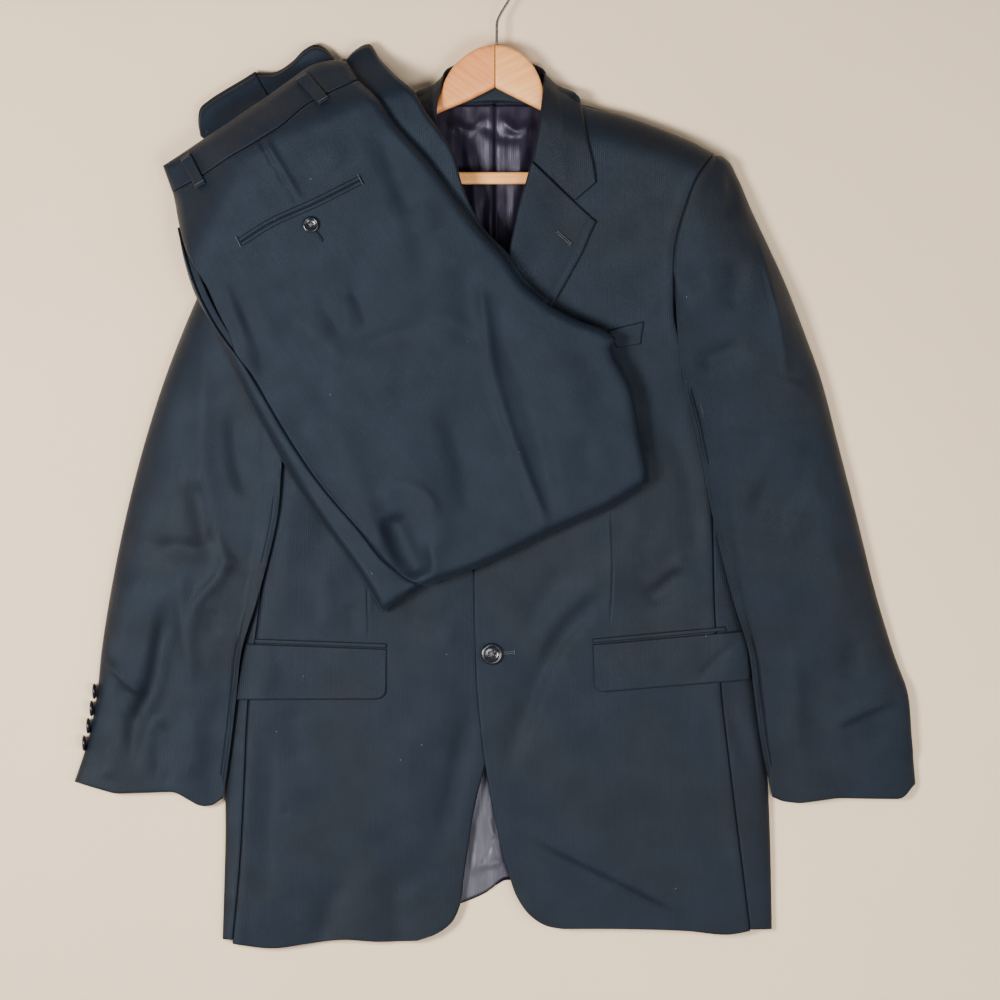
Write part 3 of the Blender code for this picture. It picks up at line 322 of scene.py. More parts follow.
def flanged(grid: Array, edge: str, reach: float | Array, drop: float) -> Array:
    """The grid with a seam allowance beyond its left, right or bottom edge, under its neighbour.

    Args:
        grid: Rows of points.
        edge: Which edge.
        reach: How far it goes on.
        drop: How far below the edge it lies.

    Returns:
        The larger grid.
    """
    work = {"left": grid[:, ::-1], "right": grid, "bottom": grid.transpose(1, 0, 2)}[edge]
    out = work[:, -1:, :2] - work[:, -4:-3, :2]
    out = out / np.maximum(np.linalg.norm(out, axis=-1, keepdims=True), 1e-6)
    reach = np.broadcast_to(np.asarray(reach, float), (len(work),))[:, None, None]
    more = []
    for part, down in ((0.06, 0.55), (0.3, 0.95), (1.0, 1.0)):
        flat = work[:, -1:, :2] + out * reach * part
        more.append(np.concatenate([flat, work[:, -1:, 2:] - drop * down], axis=-1))
    work = np.concatenate([work] + more, axis=1)
    return {"left": work[:, ::-1], "right": work, "bottom": work.transpose(1, 0, 2)}[edge]


# ---- finishes

def _operator(operation: str, swapped: bool = False) -> Callable:
    """A method of Wire that adds a Math node for self and other, or for other and self."""
    def method(self: "Wire", other: "Wire | float | None" = None) -> "Wire":
        return self._math(operation, *((other, self) if swapped else (self, other)))
    return method


@dataclass(frozen=True)
class Wire:
    """A node's output, on which Python's operators add Math nodes."""

    tree: bpy.types.NodeTree
    socket: bpy.types.NodeSocket

    def _math(self, operation: str, first: "Wire | float", second: "Wire | float | None" = None) -> "Wire":
        """Adds one Math node."""
        node = self.tree.nodes.new("ShaderNodeMath")
        node.operation = operation
        for slot, value in zip(node.inputs, (first, second)):
            if isinstance(value, Wire):
                self.tree.links.new(value.socket, slot)
            elif value is not None:
                slot.default_value = value
        return Wire(self.tree, node.outputs[0])

    __add__, __radd__ = _operator("ADD"), _operator("ADD", swapped=True)
    __sub__, __rsub__ = _operator("SUBTRACT"), _operator("SUBTRACT", swapped=True)
    __mul__, __rmul__ = _operator("MULTIPLY"), _operator("MULTIPLY", swapped=True)
    __gt__, __lt__, sine = _operator("GREATER_THAN"), _operator("LESS_THAN"), _operator("SINE")


Colour = tuple[float, float, float]


class Dyer:
    """Makes one material's node tree."""

    def __init__(self, name: str) -> None:
        """Starts the material with a bare Principled shader.

        Args:
            name: The material's name.
        """
        self.material = bpy.data.materials.new(name)
        self.material.use_nodes = True
        self.tree = self.material.node_tree
        self.shader = self.tree.nodes["Principled BSDF"]

    def node(self, kind: str, settings: dict | None = None, **inputs: object) -> bpy.types.Node:
        """Adds a node.

        Args:
            kind: The node's type.
            settings: Its own settings, set before its sockets.
            inputs: Values or wires for its sockets, by name with _ for a space.

        Returns:
            The node.
        """
        node = self.tree.nodes.new(kind)
        for key, value in (settings or {}).items():
            setattr(node, key, value)
        for key, value in inputs.items():
            self.plug(node.inputs[key.replace("_", " ")], value)
        return node

    def plug(self, socket: bpy.types.NodeSocket, value: object) -> None:
        """Sets a socket to a value, or links a wire to it."""
        if isinstance(value, Wire):
            self.tree.links.new(value.socket, socket)
        else:
            socket.default_value = value

    def wire(self, node: bpy.types.Node, output: str | int = 0) -> Wire:
        """One output of a node as a wire."""
        return Wire(self.tree, node.outputs[output])

    def noise(self, vector: Wire, scale: float, detail: float = 2.0) -> Wire:
        """Noise from 0 to 1."""
        return self.wire(self.node("ShaderNodeTexNoise", Vector=vector, Scale=scale, Detail=detail), 0)

    def stretched(self, vector: Wire, scale: Colour) -> Wire:
        """The vector scaled along its axes."""
        return self.wire(self.node("ShaderNodeMapping", Vector=vector, Scale=scale))

    def blend(self, share: Wire, first: Colour | Wire, second: Colour | Wire) -> Wire:
        """Mix of two colours by a share."""
        mix = self.node("ShaderNodeMix", {"data_type": "RGBA"})
        self.plug(mix.inputs["Factor"], share)
        for slot, colour in ((mix.inputs[6], first), (mix.inputs[7], second)):
            self.plug(slot, colour if isinstance(colour, Wire) else (*colour, 1))
        return self.wire(mix, 2)

    def narrowed(self, value: Wire, low: float, high: float) -> Wire:
        """0 below low, 1 above high and smooth between."""
        settings = {"interpolation_type": "SMOOTHSTEP"}
        node = self.node("ShaderNodeMapRange", settings, Value=value, From_Min=low, From_Max=high)
        return self.wire(node)

    def bump(self, height: Wire, distance: float, strength: float = 1.0) -> None:
        """Feeds a Bump node to the shader's normal."""
        node = self.node("ShaderNodeBump", Height=height, Distance=distance, Strength=strength)
        self.plug(self.shader.inputs["Normal"], self.wire(node))

    def place(self) -> Wire:
        """Object coordinates."""
        return self.wire(self.node("ShaderNodeTexCoord"), 3)

    def cloth(self) -> Wire:
        """Flat cloth coordinates in metres."""
        return self.wire(self.node("ShaderNodeUVMap", {"uv_map": "cloth"}))

    def apart(self, vector: Wire) -> tuple[Wire, Wire]:
        """The vector's x and y."""
        split = self.node("ShaderNodeSeparateXYZ", Vector=vector)
        return self.wire(split, 0), self.wire(split, 1)

    def surface(self, colour: Wire, roughness: Wire | float) -> None:
        """Sets the shader's colour and roughness."""
        self.plug(self.shader.inputs["Base Color"], colour)
        self.plug(self.shader.inputs["Roughness"], roughness)

    def fixed(self, **values: object) -> None:
        """Sets the shader's constant sockets."""
        for key, value in values.items():
            self.shader.inputs[key.replace("_", " ")].default_value = value


@dataclass(frozen=True)
class Recipe:
    """What every finish shares: a name, and a node tree that paint fills in."""

    name: str

    def make(self) -> Material:
        """The material."""
        dyer = Dyer(self.name)
        self.paint(dyer)
        return dyer.material

    def paint(self, dyer: Dyer) -> None:
        """Adds the finish's nodes."""
        raise NotImplementedError


@dataclass(frozen=True)
class Wool(Recipe):
    """Worsted wool: fine ribs along the grain, a twill in them, soft drifts of tint and a little lint."""

    cool: Colour = (0.0062, 0.0086, 0.0150)
    warm: Colour = (0.0076, 0.0084, 0.0124)
    rib_mm: float = 1.9
    twill_mm: float = 0.55
    roughness: float = 0.52
    sheen: float = 0.05

    def paint(self, dyer: Dyer) -> None:
        """Paints ribs, twill, drifts, lint and fuzz."""
        uv = dyer.cloth()
        across, along = dyer.apart(uv)
        rate = 2 * math.pi / MM
        rib = (across * (rate / self.rib_mm)).sine() * 0.5 + 0.5
        twill = ((across + along) * (rate / self.twill_mm)).sine() * 0.5 + 0.5
        drift = dyer.narrowed(dyer.noise(uv, 9, 3), 0.42, 0.60)
        streak = dyer.noise(dyer.stretched(uv, (420, 18, 1)), 1.0, 2)
        mottle = dyer.noise(uv, 700, 2)
        tone = dyer.blend(drift, self.cool, self.warm)
        cloud = dyer.narrowed(dyer.noise(uv, 34, 4), 0.30, 0.70)
        shade = 0.36 + rib * 0.22 + streak * 0.30 + mottle * 0.46 + twill * 0.06 + cloud * 0.24
        toned = dyer.node("ShaderNodeVectorMath", {"operation": "SCALE"})
        dyer.plug(toned.inputs[0], tone)
        dyer.plug(toned.inputs["Scale"], shade)
        spots = dyer.node("ShaderNodeTexVoronoi", Vector=uv, Scale=46.0, Randomness=1.0)
        picked = dyer.node("ShaderNodeSeparateColor", Color=dyer.wire(spots, 1))
        lint = (dyer.wire(spots, 0) < 0.021) * (dyer.wire(picked, 0) > 0.55)
        colour = dyer.blend(lint * 0.55, dyer.wire(toned), (0.26, 0.28, 0.31))
        rough = self.roughness - 0.05 * rib + 0.16 * mottle - 0.06 * streak - 0.05 * cloud
        dyer.surface(colour, rough)
        dyer.fixed(Sheen_Weight=self.sheen, Sheen_Roughness=0.45, Sheen_Tint=(0.55, 0.66, 0.85, 1))
        dyer.fixed(Specular_IOR_Level=0.27, Specular_Tint=(0.64, 0.82, 1.0, 1))
        fuzz = dyer.noise(uv, 1700, 3)
        dyer.bump(rib * 0.4 + twill * 0.3 + mottle * 0.5 + fuzz * 0.9, 0.0003, 0.6)


@dataclass(frozen=True)
class Satin(Recipe):
    """Smooth lining satin with long soft streaks along its warp, and a painted reflection that makes it paler
    towards its hem.
    """

    dark: Colour = (0.0045, 0.0036, 0.0080)
    pale: Colour = (0.0165, 0.0125, 0.0290)
    # hem: colour of a painted reflection, the satin paler at the hem as if it mirrored the bright room
    hem: Colour = (0.046, 0.050, 0.056)
    roughness: float = 0.30

    def paint(self, dyer: Dyer) -> None:
        """Paints streaks, a painted reflection that makes the satin paler at the hem, and soft creases."""
        uv = dyer.cloth()
        streak = dyer.noise(dyer.stretched(uv, (1400, 30, 1)), 1.0, 2)
        drift = dyer.noise(uv, 22, 2)
        tone = dyer.blend(drift * 0.6 + streak * 0.4, self.dark, self.pale)
        across, along = dyer.apart(uv)
        # Painted reflection: the satin turns paler low down and left of the centre, where it shows at the
        # hem.
        low = dyer.narrowed(along * -1.0, 0.20, 0.27) * dyer.narrowed(across * -1.0, -0.009, 0.003)
        tone = dyer.blend(low, tone, self.hem)
        dyer.surface(tone, self.roughness + 0.16 * streak)
        dyer.fixed(Sheen_Weight=0.02, Sheen_Roughness=0.3)
        dyer.fixed(Specular_IOR_Level=0.42, Specular_Tint=(0.80, 0.76, 1.0, 1))
        crease = dyer.noise(dyer.stretched(uv, (36, 14, 1)), 1.0, 2)
        dyer.bump(streak * 0.03 + crease, 0.006, 0.8)


@dataclass(frozen=True)
class Beech(Recipe):
    """Pale lacquered beech with fine grain and short dark flecks along the x axis."""

    pale: Colour = (0.72, 0.44, 0.235)
    deep: Colour = (0.56, 0.295, 0.135)
    turn: float = 0.0

    def paint(self, dyer: Dyer) -> None:
        """Paints grain and flecks."""
        place = dyer.place()
        turned = dyer.wire(dyer.node("ShaderNodeMapping", Vector=place, Rotation=(0, 0, self.turn)))
        grain = dyer.noise(dyer.stretched(turned, (14, 260, 160)), 1.0, 4)
        cloud = dyer.noise(turned, 26, 2)
        fleck = dyer.noise(dyer.stretched(turned, (240, 1500, 1500)), 1.0, 1)
        tone = dyer.blend(dyer.narrowed(grain * 0.75 + cloud * 0.25, 0.36, 0.66), self.deep, self.pale)
        tone = dyer.blend((fleck > 0.70) * 0.35, tone, (0.30, 0.13, 0.05))
        dyer.surface(tone, 0.42 + 0.16 * grain)
        dyer.fixed(Coat_Weight=0.18, Coat_Roughness=0.3)
        dyer.bump(grain + fleck * 0.4, 0.00025, 0.35)


@dataclass(frozen=True)
class PlatedWire(Recipe):
    """Bright plated wire with fine drawn scratches."""

    def paint(self, dyer: Dyer) -> None:
        """Paints the scratches."""
        place = dyer.place()
        scratch = dyer.noise(dyer.stretched(place, (2600, 320, 2600)), 1.0, 3)
        tone = dyer.blend(scratch, (0.16, 0.155, 0.15), (0.34, 0.33, 0.32))
        dyer.surface(tone, 0.18 + 0.2 * scratch)
        dyer.fixed(Metallic=1.0)
        dyer.bump(scratch, 0.0001, 0.3)


@dataclass(frozen=True)
class Horn(Recipe):
    """Dark polished button with a faint marbled figure."""

    dark: Colour = (0.005, 0.006, 0.009)
    pale: Colour = (0.014, 0.017, 0.024)

    def paint(self, dyer: Dyer) -> None:
        """Paints the figure."""
        place = dyer.place()
        figure = dyer.noise(dyer.stretched(place, (260, 620, 260)), 1.0, 4)
        tone = dyer.blend(dyer.narrowed(figure, 0.42, 0.68), self.dark, self.pale)
        dyer.surface(tone, 0.15 + 0.12 * figure)
        dyer.fixed(Coat_Weight=0.1, Coat_Roughness=0.1)
        dyer.bump(figure, 0.0001, 0.25)


@dataclass(frozen=True)
class Thread(Recipe):
    """Twisted sewing thread."""

    colour: Colour = (0.10, 0.115, 0.13)

    def paint(self, dyer: Dyer) -> None:
        """Paints the twist."""
        place = dyer.place()
        twist = dyer.noise(place, 2600, 2)
        dark = tuple(0.55 * c for c in self.colour)
        dyer.surface(dyer.blend(twist, dark, self.colour), 0.55 + 0.2 * twist)
        dyer.fixed(Sheen_Weight=0.3)
        dyer.bump(twist, 0.0001, 0.4)


@dataclass(frozen=True)
class Plaster(Recipe):
    """The plain pale surface underneath."""

    colour: Colour = (0.93, 0.73, 0.51)

    def paint(self, dyer: Dyer) -> None:
        """Paints the soft clouds."""
        place = dyer.place()
        cloud = dyer.noise(place, 5, 3)
        deep = tuple(0.9 * c for c in self.colour)
        dyer.surface(dyer.blend(cloud, deep, self.colour), 0.9)


class Finish(Enum):
    """The suit's finishes, by the slot that each belongs to."""

    JACKET = "jacket_wool"
    TROUSERS = "trouser_wool"
    LINING = "lining_satin"
    BUTTON = "button_horn"
    WOOD = "hanger_wood"
    WIRE = "hook_wire"


# ---- workshop

def placed(name: str, data: bpy.types.ID) -> Object:
    """A new object in the scene from its data."""
    obj = bpy.data.objects.new(name, data)
    bpy.context.scene.collection.objects.link(obj)
    return obj


def baked(obj: Object, name: str) -> Mesh:
    """The object's finished mesh; the object is removed."""
    graph = bpy.context.evaluated_depsgraph_get()
    mesh = bpy.data.meshes.new_from_object(obj.evaluated_get(graph))
    mesh.name = name
    bpy.data.objects.remove(obj)
    return mesh


@dataclass(frozen=True)
class Cut:
    """What a cloth piece lies on, how it is held and the small pieces sewn on it."""

    rests_on: tuple[str, ...]
    held: str = "laid"
    sewn_on: tuple[Object, ...] = ()


@dataclass
class Bench:
    """Makes pieces from points in the maker's millimetres and hands them to the frame."""

    origin: Array
    materials: dict[Finish, Material] = field(default_factory=dict)

    @classmethod
    def from_frame(cls) -> "Bench":
        """Finds the maker's origin from the lower front button and the back panel."""
        button = np.array(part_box("front_button_lower")).mean(axis=0) / MM
        floor = np.array(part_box("back_left"))[0][2] / MM
        return cls(np.array([button[0] - Buttons.front[0][0], button[1] - Buttons.front[0][1], floor - 0.3]))

    def metres(self, points: Sequence) -> Array:
        """Points of the maker's millimetres in the frame's metres."""
        return (np.asarray(points, float) + self.origin) * MM

    def dye(self) -> None:
        """Makes the finishes."""
        finishes = {
            Finish.JACKET: Wool("jacket wool"),
            Finish.TROUSERS: Wool(
                "trouser wool", cool=(0.0058, 0.0090, 0.0164), warm=(0.0060, 0.0085, 0.0154),
            ),
            Finish.LINING: Satin("lining satin"),
            Finish.BUTTON: Horn("button horn"),
            Finish.WOOD: Beech("hanger beech"),
            Finish.WIRE: PlatedWire("hook wire"),
        }
        self.materials = {finish: recipe.make() for finish, recipe in finishes.items()}

    def mesh(self, name: str, points: Array, faces: Sequence, uvs: Array | None = None) -> Mesh:
        """A mesh from points in millimetres.

        Args:
            name: The mesh's name.
            points: One row for each point.
            faces: Indices of each face's points.
            uvs: Flat cloth coordinates in metres, one for each point.

        Returns:
            The mesh.
        """
        mesh = bpy.data.meshes.new(name)
        mesh.from_pydata(self.metres(points).tolist(), [], [tuple(map(int, face)) for face in faces])
        if uvs is not None:
            layer = mesh.uv_layers.new(name="cloth")
            index = np.zeros(len(mesh.loops), np.int32)
            mesh.loops.foreach_get("vertex_index", index)
            layer.data.foreach_set("uv", np.asarray(uvs, np.float32)[index].ravel())
        mesh.shade_smooth()
        mesh.update()
        return mesh

    def piece(self, name: str, mesh: Mesh, finish: Finish, *nodes: str) -> Object:
        """Places a finished mesh as a piece that stands for some CAD nodes.

        Args:
            name: The piece's name.
            mesh: Its mesh, in place.
            finish: Its finish.
            nodes: The nodes that it replaces.

        Returns:
            The piece.
        """
        obj = placed(name, mesh)
        if not mesh.materials:
            mesh.materials.append(self.materials[finish])
        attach(obj, "root")
        if nodes:
            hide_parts(*nodes)
        LOG.info("%s: %d points", name, len(mesh.vertices))
        return obj

    def cloth(self, name: str, grid: Array, finish: Finish, cut: Cut | None, *nodes: str,
              wall: float = 1.3, up: bool = True, grain: float = 0.0,
              probe: slice = slice(None), wrap: bool = False) -> Object:
        """A wall of cloth under a grid of points, or over it where it faces down.

        Args:
            name: The piece's name.
            grid: Rows of points in millimetres.
            finish: Its finish.
            cut: What it lies on, if its cut's size is to be logged.
            nodes: The nodes that it replaces.
            wall: Its thickness.
            up: Whether its outer side faces up.
            grain: How far its ribs are turned from the y axis, in degrees, against the clock.
            probe: The columns that show which way the grid faces.
            wrap: Whether the ribs follow the grid's rows and not the plan.

        Returns:
            The piece.
        """
        part = grid[:, probe]
        across, down = (part[:, 1:] - part[:, :-1])[:-1], (part[1:] - part[:-1])[:, :-1]
        faces_up = float((down[..., 0] * across[..., 1] - down[..., 1] * across[..., 0]).sum()) > 0
        if faces_up != up:
            grid = grid[:, ::-1]
        rows, columns = grid.shape[:2]
        corner = np.arange(rows * columns).reshape(rows, columns)
        quads = np.stack([corner[:-1, :-1], corner[1:, :-1], corner[1:, 1:], corner[:-1, 1:]], axis=-1)
        if wrap:
            far = rim_distance(grid)
            middle = far["left"][:, columns // 2][:, None]
            uvs = np.stack([far["left"] - middle, -far["top"]], axis=-1)
        else:
            angle = math.radians(grain)
            x, y = grid[..., 0], grid[..., 1]
            c, s = math.cos(angle), math.sin(angle)
            uvs = np.stack([x * c + y * s, y * c - x * s], axis=-1)
        mesh = self.mesh(name, grid.reshape(-1, 3), quads.reshape(-1, 4), uvs.reshape(-1, 2) * MM)
        obj = self.piece(name, mesh, finish, *nodes)
        solid = obj.modifiers.new("wall", "SOLIDIFY")
        solid.thickness = wall * MM
        solid.offset = -1
        if cut is not None:
            self.declare(obj, grid, cut)
        return obj

    def declare(self, obj: Object, grid: Array, cut: Cut) -> None:
        """Logs the size of the sheet that a piece is cut from, as large as its grid is when laid out flat."""
        far = rim_distance(grid)
        width, length = far["left"].max() * MM, far["top"].max() * MM
        across, down = (grid[:, 1:] - grid[:, :-1])[:-1], (grid[1:] - grid[:-1])[:, :-1]
        area = np.linalg.norm(np.cross(down, across), axis=-1).sum() * MM * MM
        if area < 0.35 * width * length:
            width = max(0.011, 1.1 * area / length)
        area = float(min(area, width * length))
        LOG.info("%s: cut %.3f x %.3f m, %.4f square metres", obj.name, width, length, area)
        list(cut.rests_on)
        list(cut.sewn_on)


# ---- jacket: how it lies

class Tabled:
    """Something with sizes in rows: a height up, then a value for each named column."""

    columns: ClassVar[tuple[str, ...]]
    rows: tuple[Row, ...]

    def column(self, name: str, y: Array | float) -> Array:
        """A column of the rows at any y."""
        table = np.array(self.rows[::-1], float)
        return hermite(table[:, 0], table[:, 1 + self.columns.index(name)], y)


@dataclass(frozen=True)
class JacketLie(Tabled):
    """How the buttoned jacket lies: its outline, height and folds."""

    columns: ClassVar[tuple[str, ...]] = ("left", "right", "crown")
    rows: tuple[Row, ...] = (
        (400, -270, 270, 30), (321, -262, 262, 38), (240, -240, 240, 34), (170, -222, 222, 29),
        (121, -208, 208, 26), (55, -212, 212, 25), (-18, -219, 219, 24), (-92, -230, 230, 22),
        (-142, -239, 241, 21), (-184, -244, 247, 20), (-262, -250, 253, 18), (-310, -250, 255, 16),
        (-351, -251, 256, 15), (-420, -253, 257, 13),
    )
    shoulder: Line = (
        (0, 392), (49, 383), (78, 367), (121, 355), (152, 344), (179, 333), (203, 320), (262, 292),
    )
    side_edge: float = 5.0
    side_round: float = 34.0
    shoulder_edge: float = 13.0
    shoulder_round: float = 40.0
    overlap_start: float = -52.0
    overlap_end: float = -12.0
    overlap_drop: float = 3.4
    lapel_drop: float = 4.0
    crease_depth: float = 1.35
    folds: tuple[Fold, ...] = (
        Fold(((170, -5), (70, -110)), 30, 3.0), Fold(((175, -60), (120, -105)), 22, -2.5),
        Fold(((40, -190), (130, -330)), 34, 2.2), Fold(((-60, -170), (-90, -360)), 34, 2.2),
        Fold(((-120, -300), (-70, -370)), 24, -2.5), Fold(((-205, 20), (-190, -110)), 22, 3.0),
    )
    creases: tuple[Fold, ...] = (
        Fold(((110, -70), (90, -95), (60, -129),
              (41, -163), (29, -196), (17, -233), (11, -268)), 15, -3.2, -0.25),
        Fold(((110, -62), (76, -92), (46, -128), (30, -166)), 12, 1.8),
        Fold(((66, -61), (23, -123)), 15, -2.2), Fold(((176, -60), (136, -98)), 13, -2.4, 0.2),
        Fold(((182, -50), (138, -82)), 10, 1.6), Fold(((150, -10), (132, -58)), 15, -1.4),
        Fold(((-20, -170), (-34, -245), (-56, -340)), 20, -2.6, 0.3),
        Fold(((-12, -190), (-22, -260), (-36, -330)), 11, 1.5), Fold(((-88, -98), (-40, -128)), 16, -1.6),
        Fold(((-137, -95), (-127, -124)), 8, -1.5), Fold(((-160, -60), (-152, -122)), 12, 1.4),
        Fold(((-188, -186), (-184, -250)), 17, -1.5), Fold(((-206, -200), (-212, -385)), 13, -1.4, -0.3),
        Fold(((-200, -287), (-188, -290)), 4, -1.3, fade=0.5),
        Fold(((-144, -344), (-154, -380), (-170, -436)), 17, -2.6),
        Fold(((-92, -340), (-90, -436)), 16, -2.4), Fold(((-118, -330), (-126, -436)), 22, 1.6),
        Fold(((14, -296), (50, -318), (97, -341), (190, -388)), 15, 2.4, 0.55),
        Fold(((210, -160), (240, -262)), 13, -2.6), Fold(((100, 250), (150, 180)), 34, -1.6),
        Fold(((150, 100), (178, 20), (186, -60)), 16, -2.4), Fold(((150, 60), (120, -10)), 22, 1.6),
        Fold(((-150, 20), (-165, -60)), 16, -1.8),
    )

    def top(self, x: Array, y: Array) -> Array:
        """Height of the chest and skirt."""
        x, y = np.asarray(x, float), np.asarray(y, float)
        left, right = self.column("left", y), self.column("right", y)
        wave = UNEVEN * ripple(x, y, 3, 60)
        crown = self.column("crown", y) + folded(x, y, self.folds)
        crown = crown + self.crease_depth * folded(x, y, self.creases) + wave
        side = quarter(np.minimum(x - left, right - x) / self.side_round)
        height = self.side_edge + (crown - self.side_edge) * side
        seam_y = follow(self.shoulder, np.abs(x))
        near = quarter((seam_y - y) / self.shoulder_round)
        return self.shoulder_edge + (height - self.shoulder_edge) * near

    def under(self, x: Array, y: Array) -> Array:
        """Height of the front that lies underneath, lower where the other covers it."""
        drop = self.overlap_drop + self.lapel_drop * step((y - 10) / 40) * step((215 - y) / 50)
        share = step((x - self.overlap_start) / (self.overlap_end - self.overlap_start))
        return self.top(x, y) - drop * share


@dataclass(frozen=True)
class SleeveLie(Tabled):
    """How one sleeve lies against the jacket's side."""

    side: int
    rows: tuple[Row, ...]
    cuff: Line
    creases: tuple[Fold, ...]
    columns: ClassVar[tuple[str, ...]] = ("inner", "outer", "crown")
    jacket: JacketLie = JacketLie(creases=())
    top_y: float = 320.0
    edge: float = 4.0
    sewn_above: float = 212.0
    loose_below: float = 168.0
    clearance: float = 2.8
    crease_depth: float = 1.45

    def base(self, x: Array, y: Array) -> Array:
        """Height of what the sleeve lies on: the jacket's side, then the surface."""
        jacket = self.jacket
        beyond = np.abs(x) - jacket.column("right" if self.side > 0 else "left", y) * self.side
        over_flap = 2.5 * np.exp(-(((y + 140) / 40) ** 2))
        over_underarm = 3.5 * np.exp(-(((y - 80) / 45) ** 2))
        over = jacket.top(x, y) + self.clearance + over_flap + over_underarm
        over_edge = jacket.side_edge + self.clearance + over_underarm
        height = np.where(beyond < 0, over, over_edge * (1 - step(beyond / 16)))
        inner, outer = self.column("inner", y), self.column("outer", y)
        share = (np.abs(x) - inner) / (outer - inner)
        tucked = 5.2 * step((share - 0.75) / 0.1) * step((-160 - y) / 12) * step((y + 242) / 12)
        return 0.3 + height * (1 - step((y - self.loose_below) / 60)) + (tucked if self.side > 0 else 0)

    def top(self, x: Array, y: Array) -> Array:
        """Height of the sleeve's upper side."""
        inner, outer = self.column("inner", y), self.column("outer", y)
        share = np.clip((np.abs(x) - inner) / (outer - inner), 0, 1)
        crown = self.column("crown", y) + self.crease_depth * folded(x, y, self.creases)
        crown = crown + UNEVEN * ripple(x, y, 8, 45)
        base = self.base(x, y)
        lens = (1 - np.abs(2 * share - 1) ** 3.4) ** 0.5
        loose = (base + self.edge) * (1 - lens) + crown * lens
        seam = self.jacket.top(self.side * inner, y)
        swell = seam + (crown + 2 - seam) * step(share / 0.35)
        sewn = self.edge + 0.3 + (swell - self.edge - 0.3) * np.sqrt(1 - share**3)
        return loose + (sewn - loose) * step((y - self.loose_below) / (self.sewn_above - self.loose_below))


SLEEVE_LEFT = SleeveLie(
    side=1,
    rows=(
        (320, 203, 208, 13), (315, 199, 215, 20), (300, 188, 224, 27), (270, 175.5, 237, 34),
        (236, 166.5, 253, 36), (201, 165.2, 269, 35), (160, 167, 285, 33), (113, 172.5, 302, 31),
        (60, 185, 316, 29), (-18, 200.5, 336, 27), (-94, 219.5, 355, 25), (-140, 233.5, 369, 23),
        (-178, 238.5, 382, 21), (-220, 244.5, 386, 18), (-284, 258, 392, 14),
    ),
    cuff=((0, -274), (0.05, -279), (0.18, -281), (0.45, -276), (0.9, -277), (1, -262)),
    creases=(
        Fold(((250, 240), (275, 110)), 16, 3.0), Fold(((300, 60), (330, -120)), 24, 2.5),
        Fold(((241, 245), (251, 207), (257, 182), (265, 132), (268, 108)), 4.5, 2.0, 0.45, 0.15),
        Fold(((214, 306), (218, 285), (214, 256)), 9, -3.0, 0.3), Fold(((226, 230), (217, 168)), 17, -2.8),
        Fold(((172, 197), (196, 206)), 11, -1.6),
        Fold(((180, 128), (205, 134), (232, 148)), 12, -2.8, -0.3),
        Fold(((248, 115), (292, 98)), 5, 1.1, 0.4), Fold(((198, 70), (255, 64), (308, 68)), 7, 0.9, 0.4),
        Fold(((232, 8), (282, -14)), 30, -3.4), Fold(((240, 44), (290, 38)), 24, 1.8),
        Fold(((308, -212), (344, -194), (376, -182)), 9, 2.6, 0.5),
        Fold(((320, -232), (366, -214)), 20, -2.0), Fold(((337, -124), (324, -170)), 15, -2.4),
        Fold(((330, -101), (354, -91)), 5, 1.0, 0.3), Fold(((276, -130), (279, -232)), 11, 1.8),
        Fold(((300, -150), (296, -250)), 17, -1.6), Fold(((292, 70), (318, -20), (342, -110)), 15, -1.8),
    ),
)

SLEEVE_RIGHT = SleeveLie(
    side=-1,
    rows=(
        (320, 203, 208, 13), (315, 199, 215, 20), (300, 188, 224, 27), (270, 175.5, 237, 34),
        (236, 166.5, 252, 36), (201, 165.2, 270, 35), (160, 167, 288, 33), (113, 175, 306, 31),
        (60, 192, 323, 29), (-18, 200.5, 343, 27), (-94, 219.5, 358, 25), (-140, 233.5, 365, 23),
        (-178, 238, 369, 21), (-220, 243, 377, 18), (-284, 252, 398, 14),
    ),
    cuff=((0, -274), (0.05, -283), (0.14, -284), (0.32, -270), (0.7, -272), (1, -261)),
    creases=(
        Fold(((-300, 60), (-290, -120)), 24, 2.0),
        Fold(((-267, 150), (-270, 78), (-264, 0), (-251, -32)), 15, 2.6),
        Fold(((-243, 92), (-236, 28), (-225, -6)), 14, -3.2, 0.2),
        Fold(((-277, 24), (-267, -44)), 12, -3.0),
        Fold(((-318, -46), (-286, -44), (-262, -56)), 14, 2.2, -0.2),
        Fold(((-266, -10), (-251, -64), (-276, -98), (-279, -136)), 8, 2.4),
        Fold(((-251, -64), (-238, -52)), 8, 1.8), Fold(((-292, -60), (-284, -130), (-276, -176)), 11, 2.4),
        Fold(((-262, -98), (-258, -128)), 10, -1.8),
        Fold(((-301, -84), (-309, -133), (-317, -172), (-334, -212), (-332, -256)), 15, -6.2, 0.3),
        Fold(((-309, -196), (-312, -268)), 13, -3.6),
        Fold(((-364, -146), (-340, -168), (-320, -184)), 7, 2.8, 0.4),
        Fold(((-352, -166), (-336, -212)), 9, -2.0), Fold(((-355, -215), (-358, -262)), 13, 1.8),
        Fold(((-302, 140), (-332, 0), (-350, -110)), 14, -1.6), Fold(((-340, -60), (-345, -140)), 22, 2.0),
        Fold(((-280, -190), (-276, -262)), 13, 2.0),
    ),
)


# ---- stitches

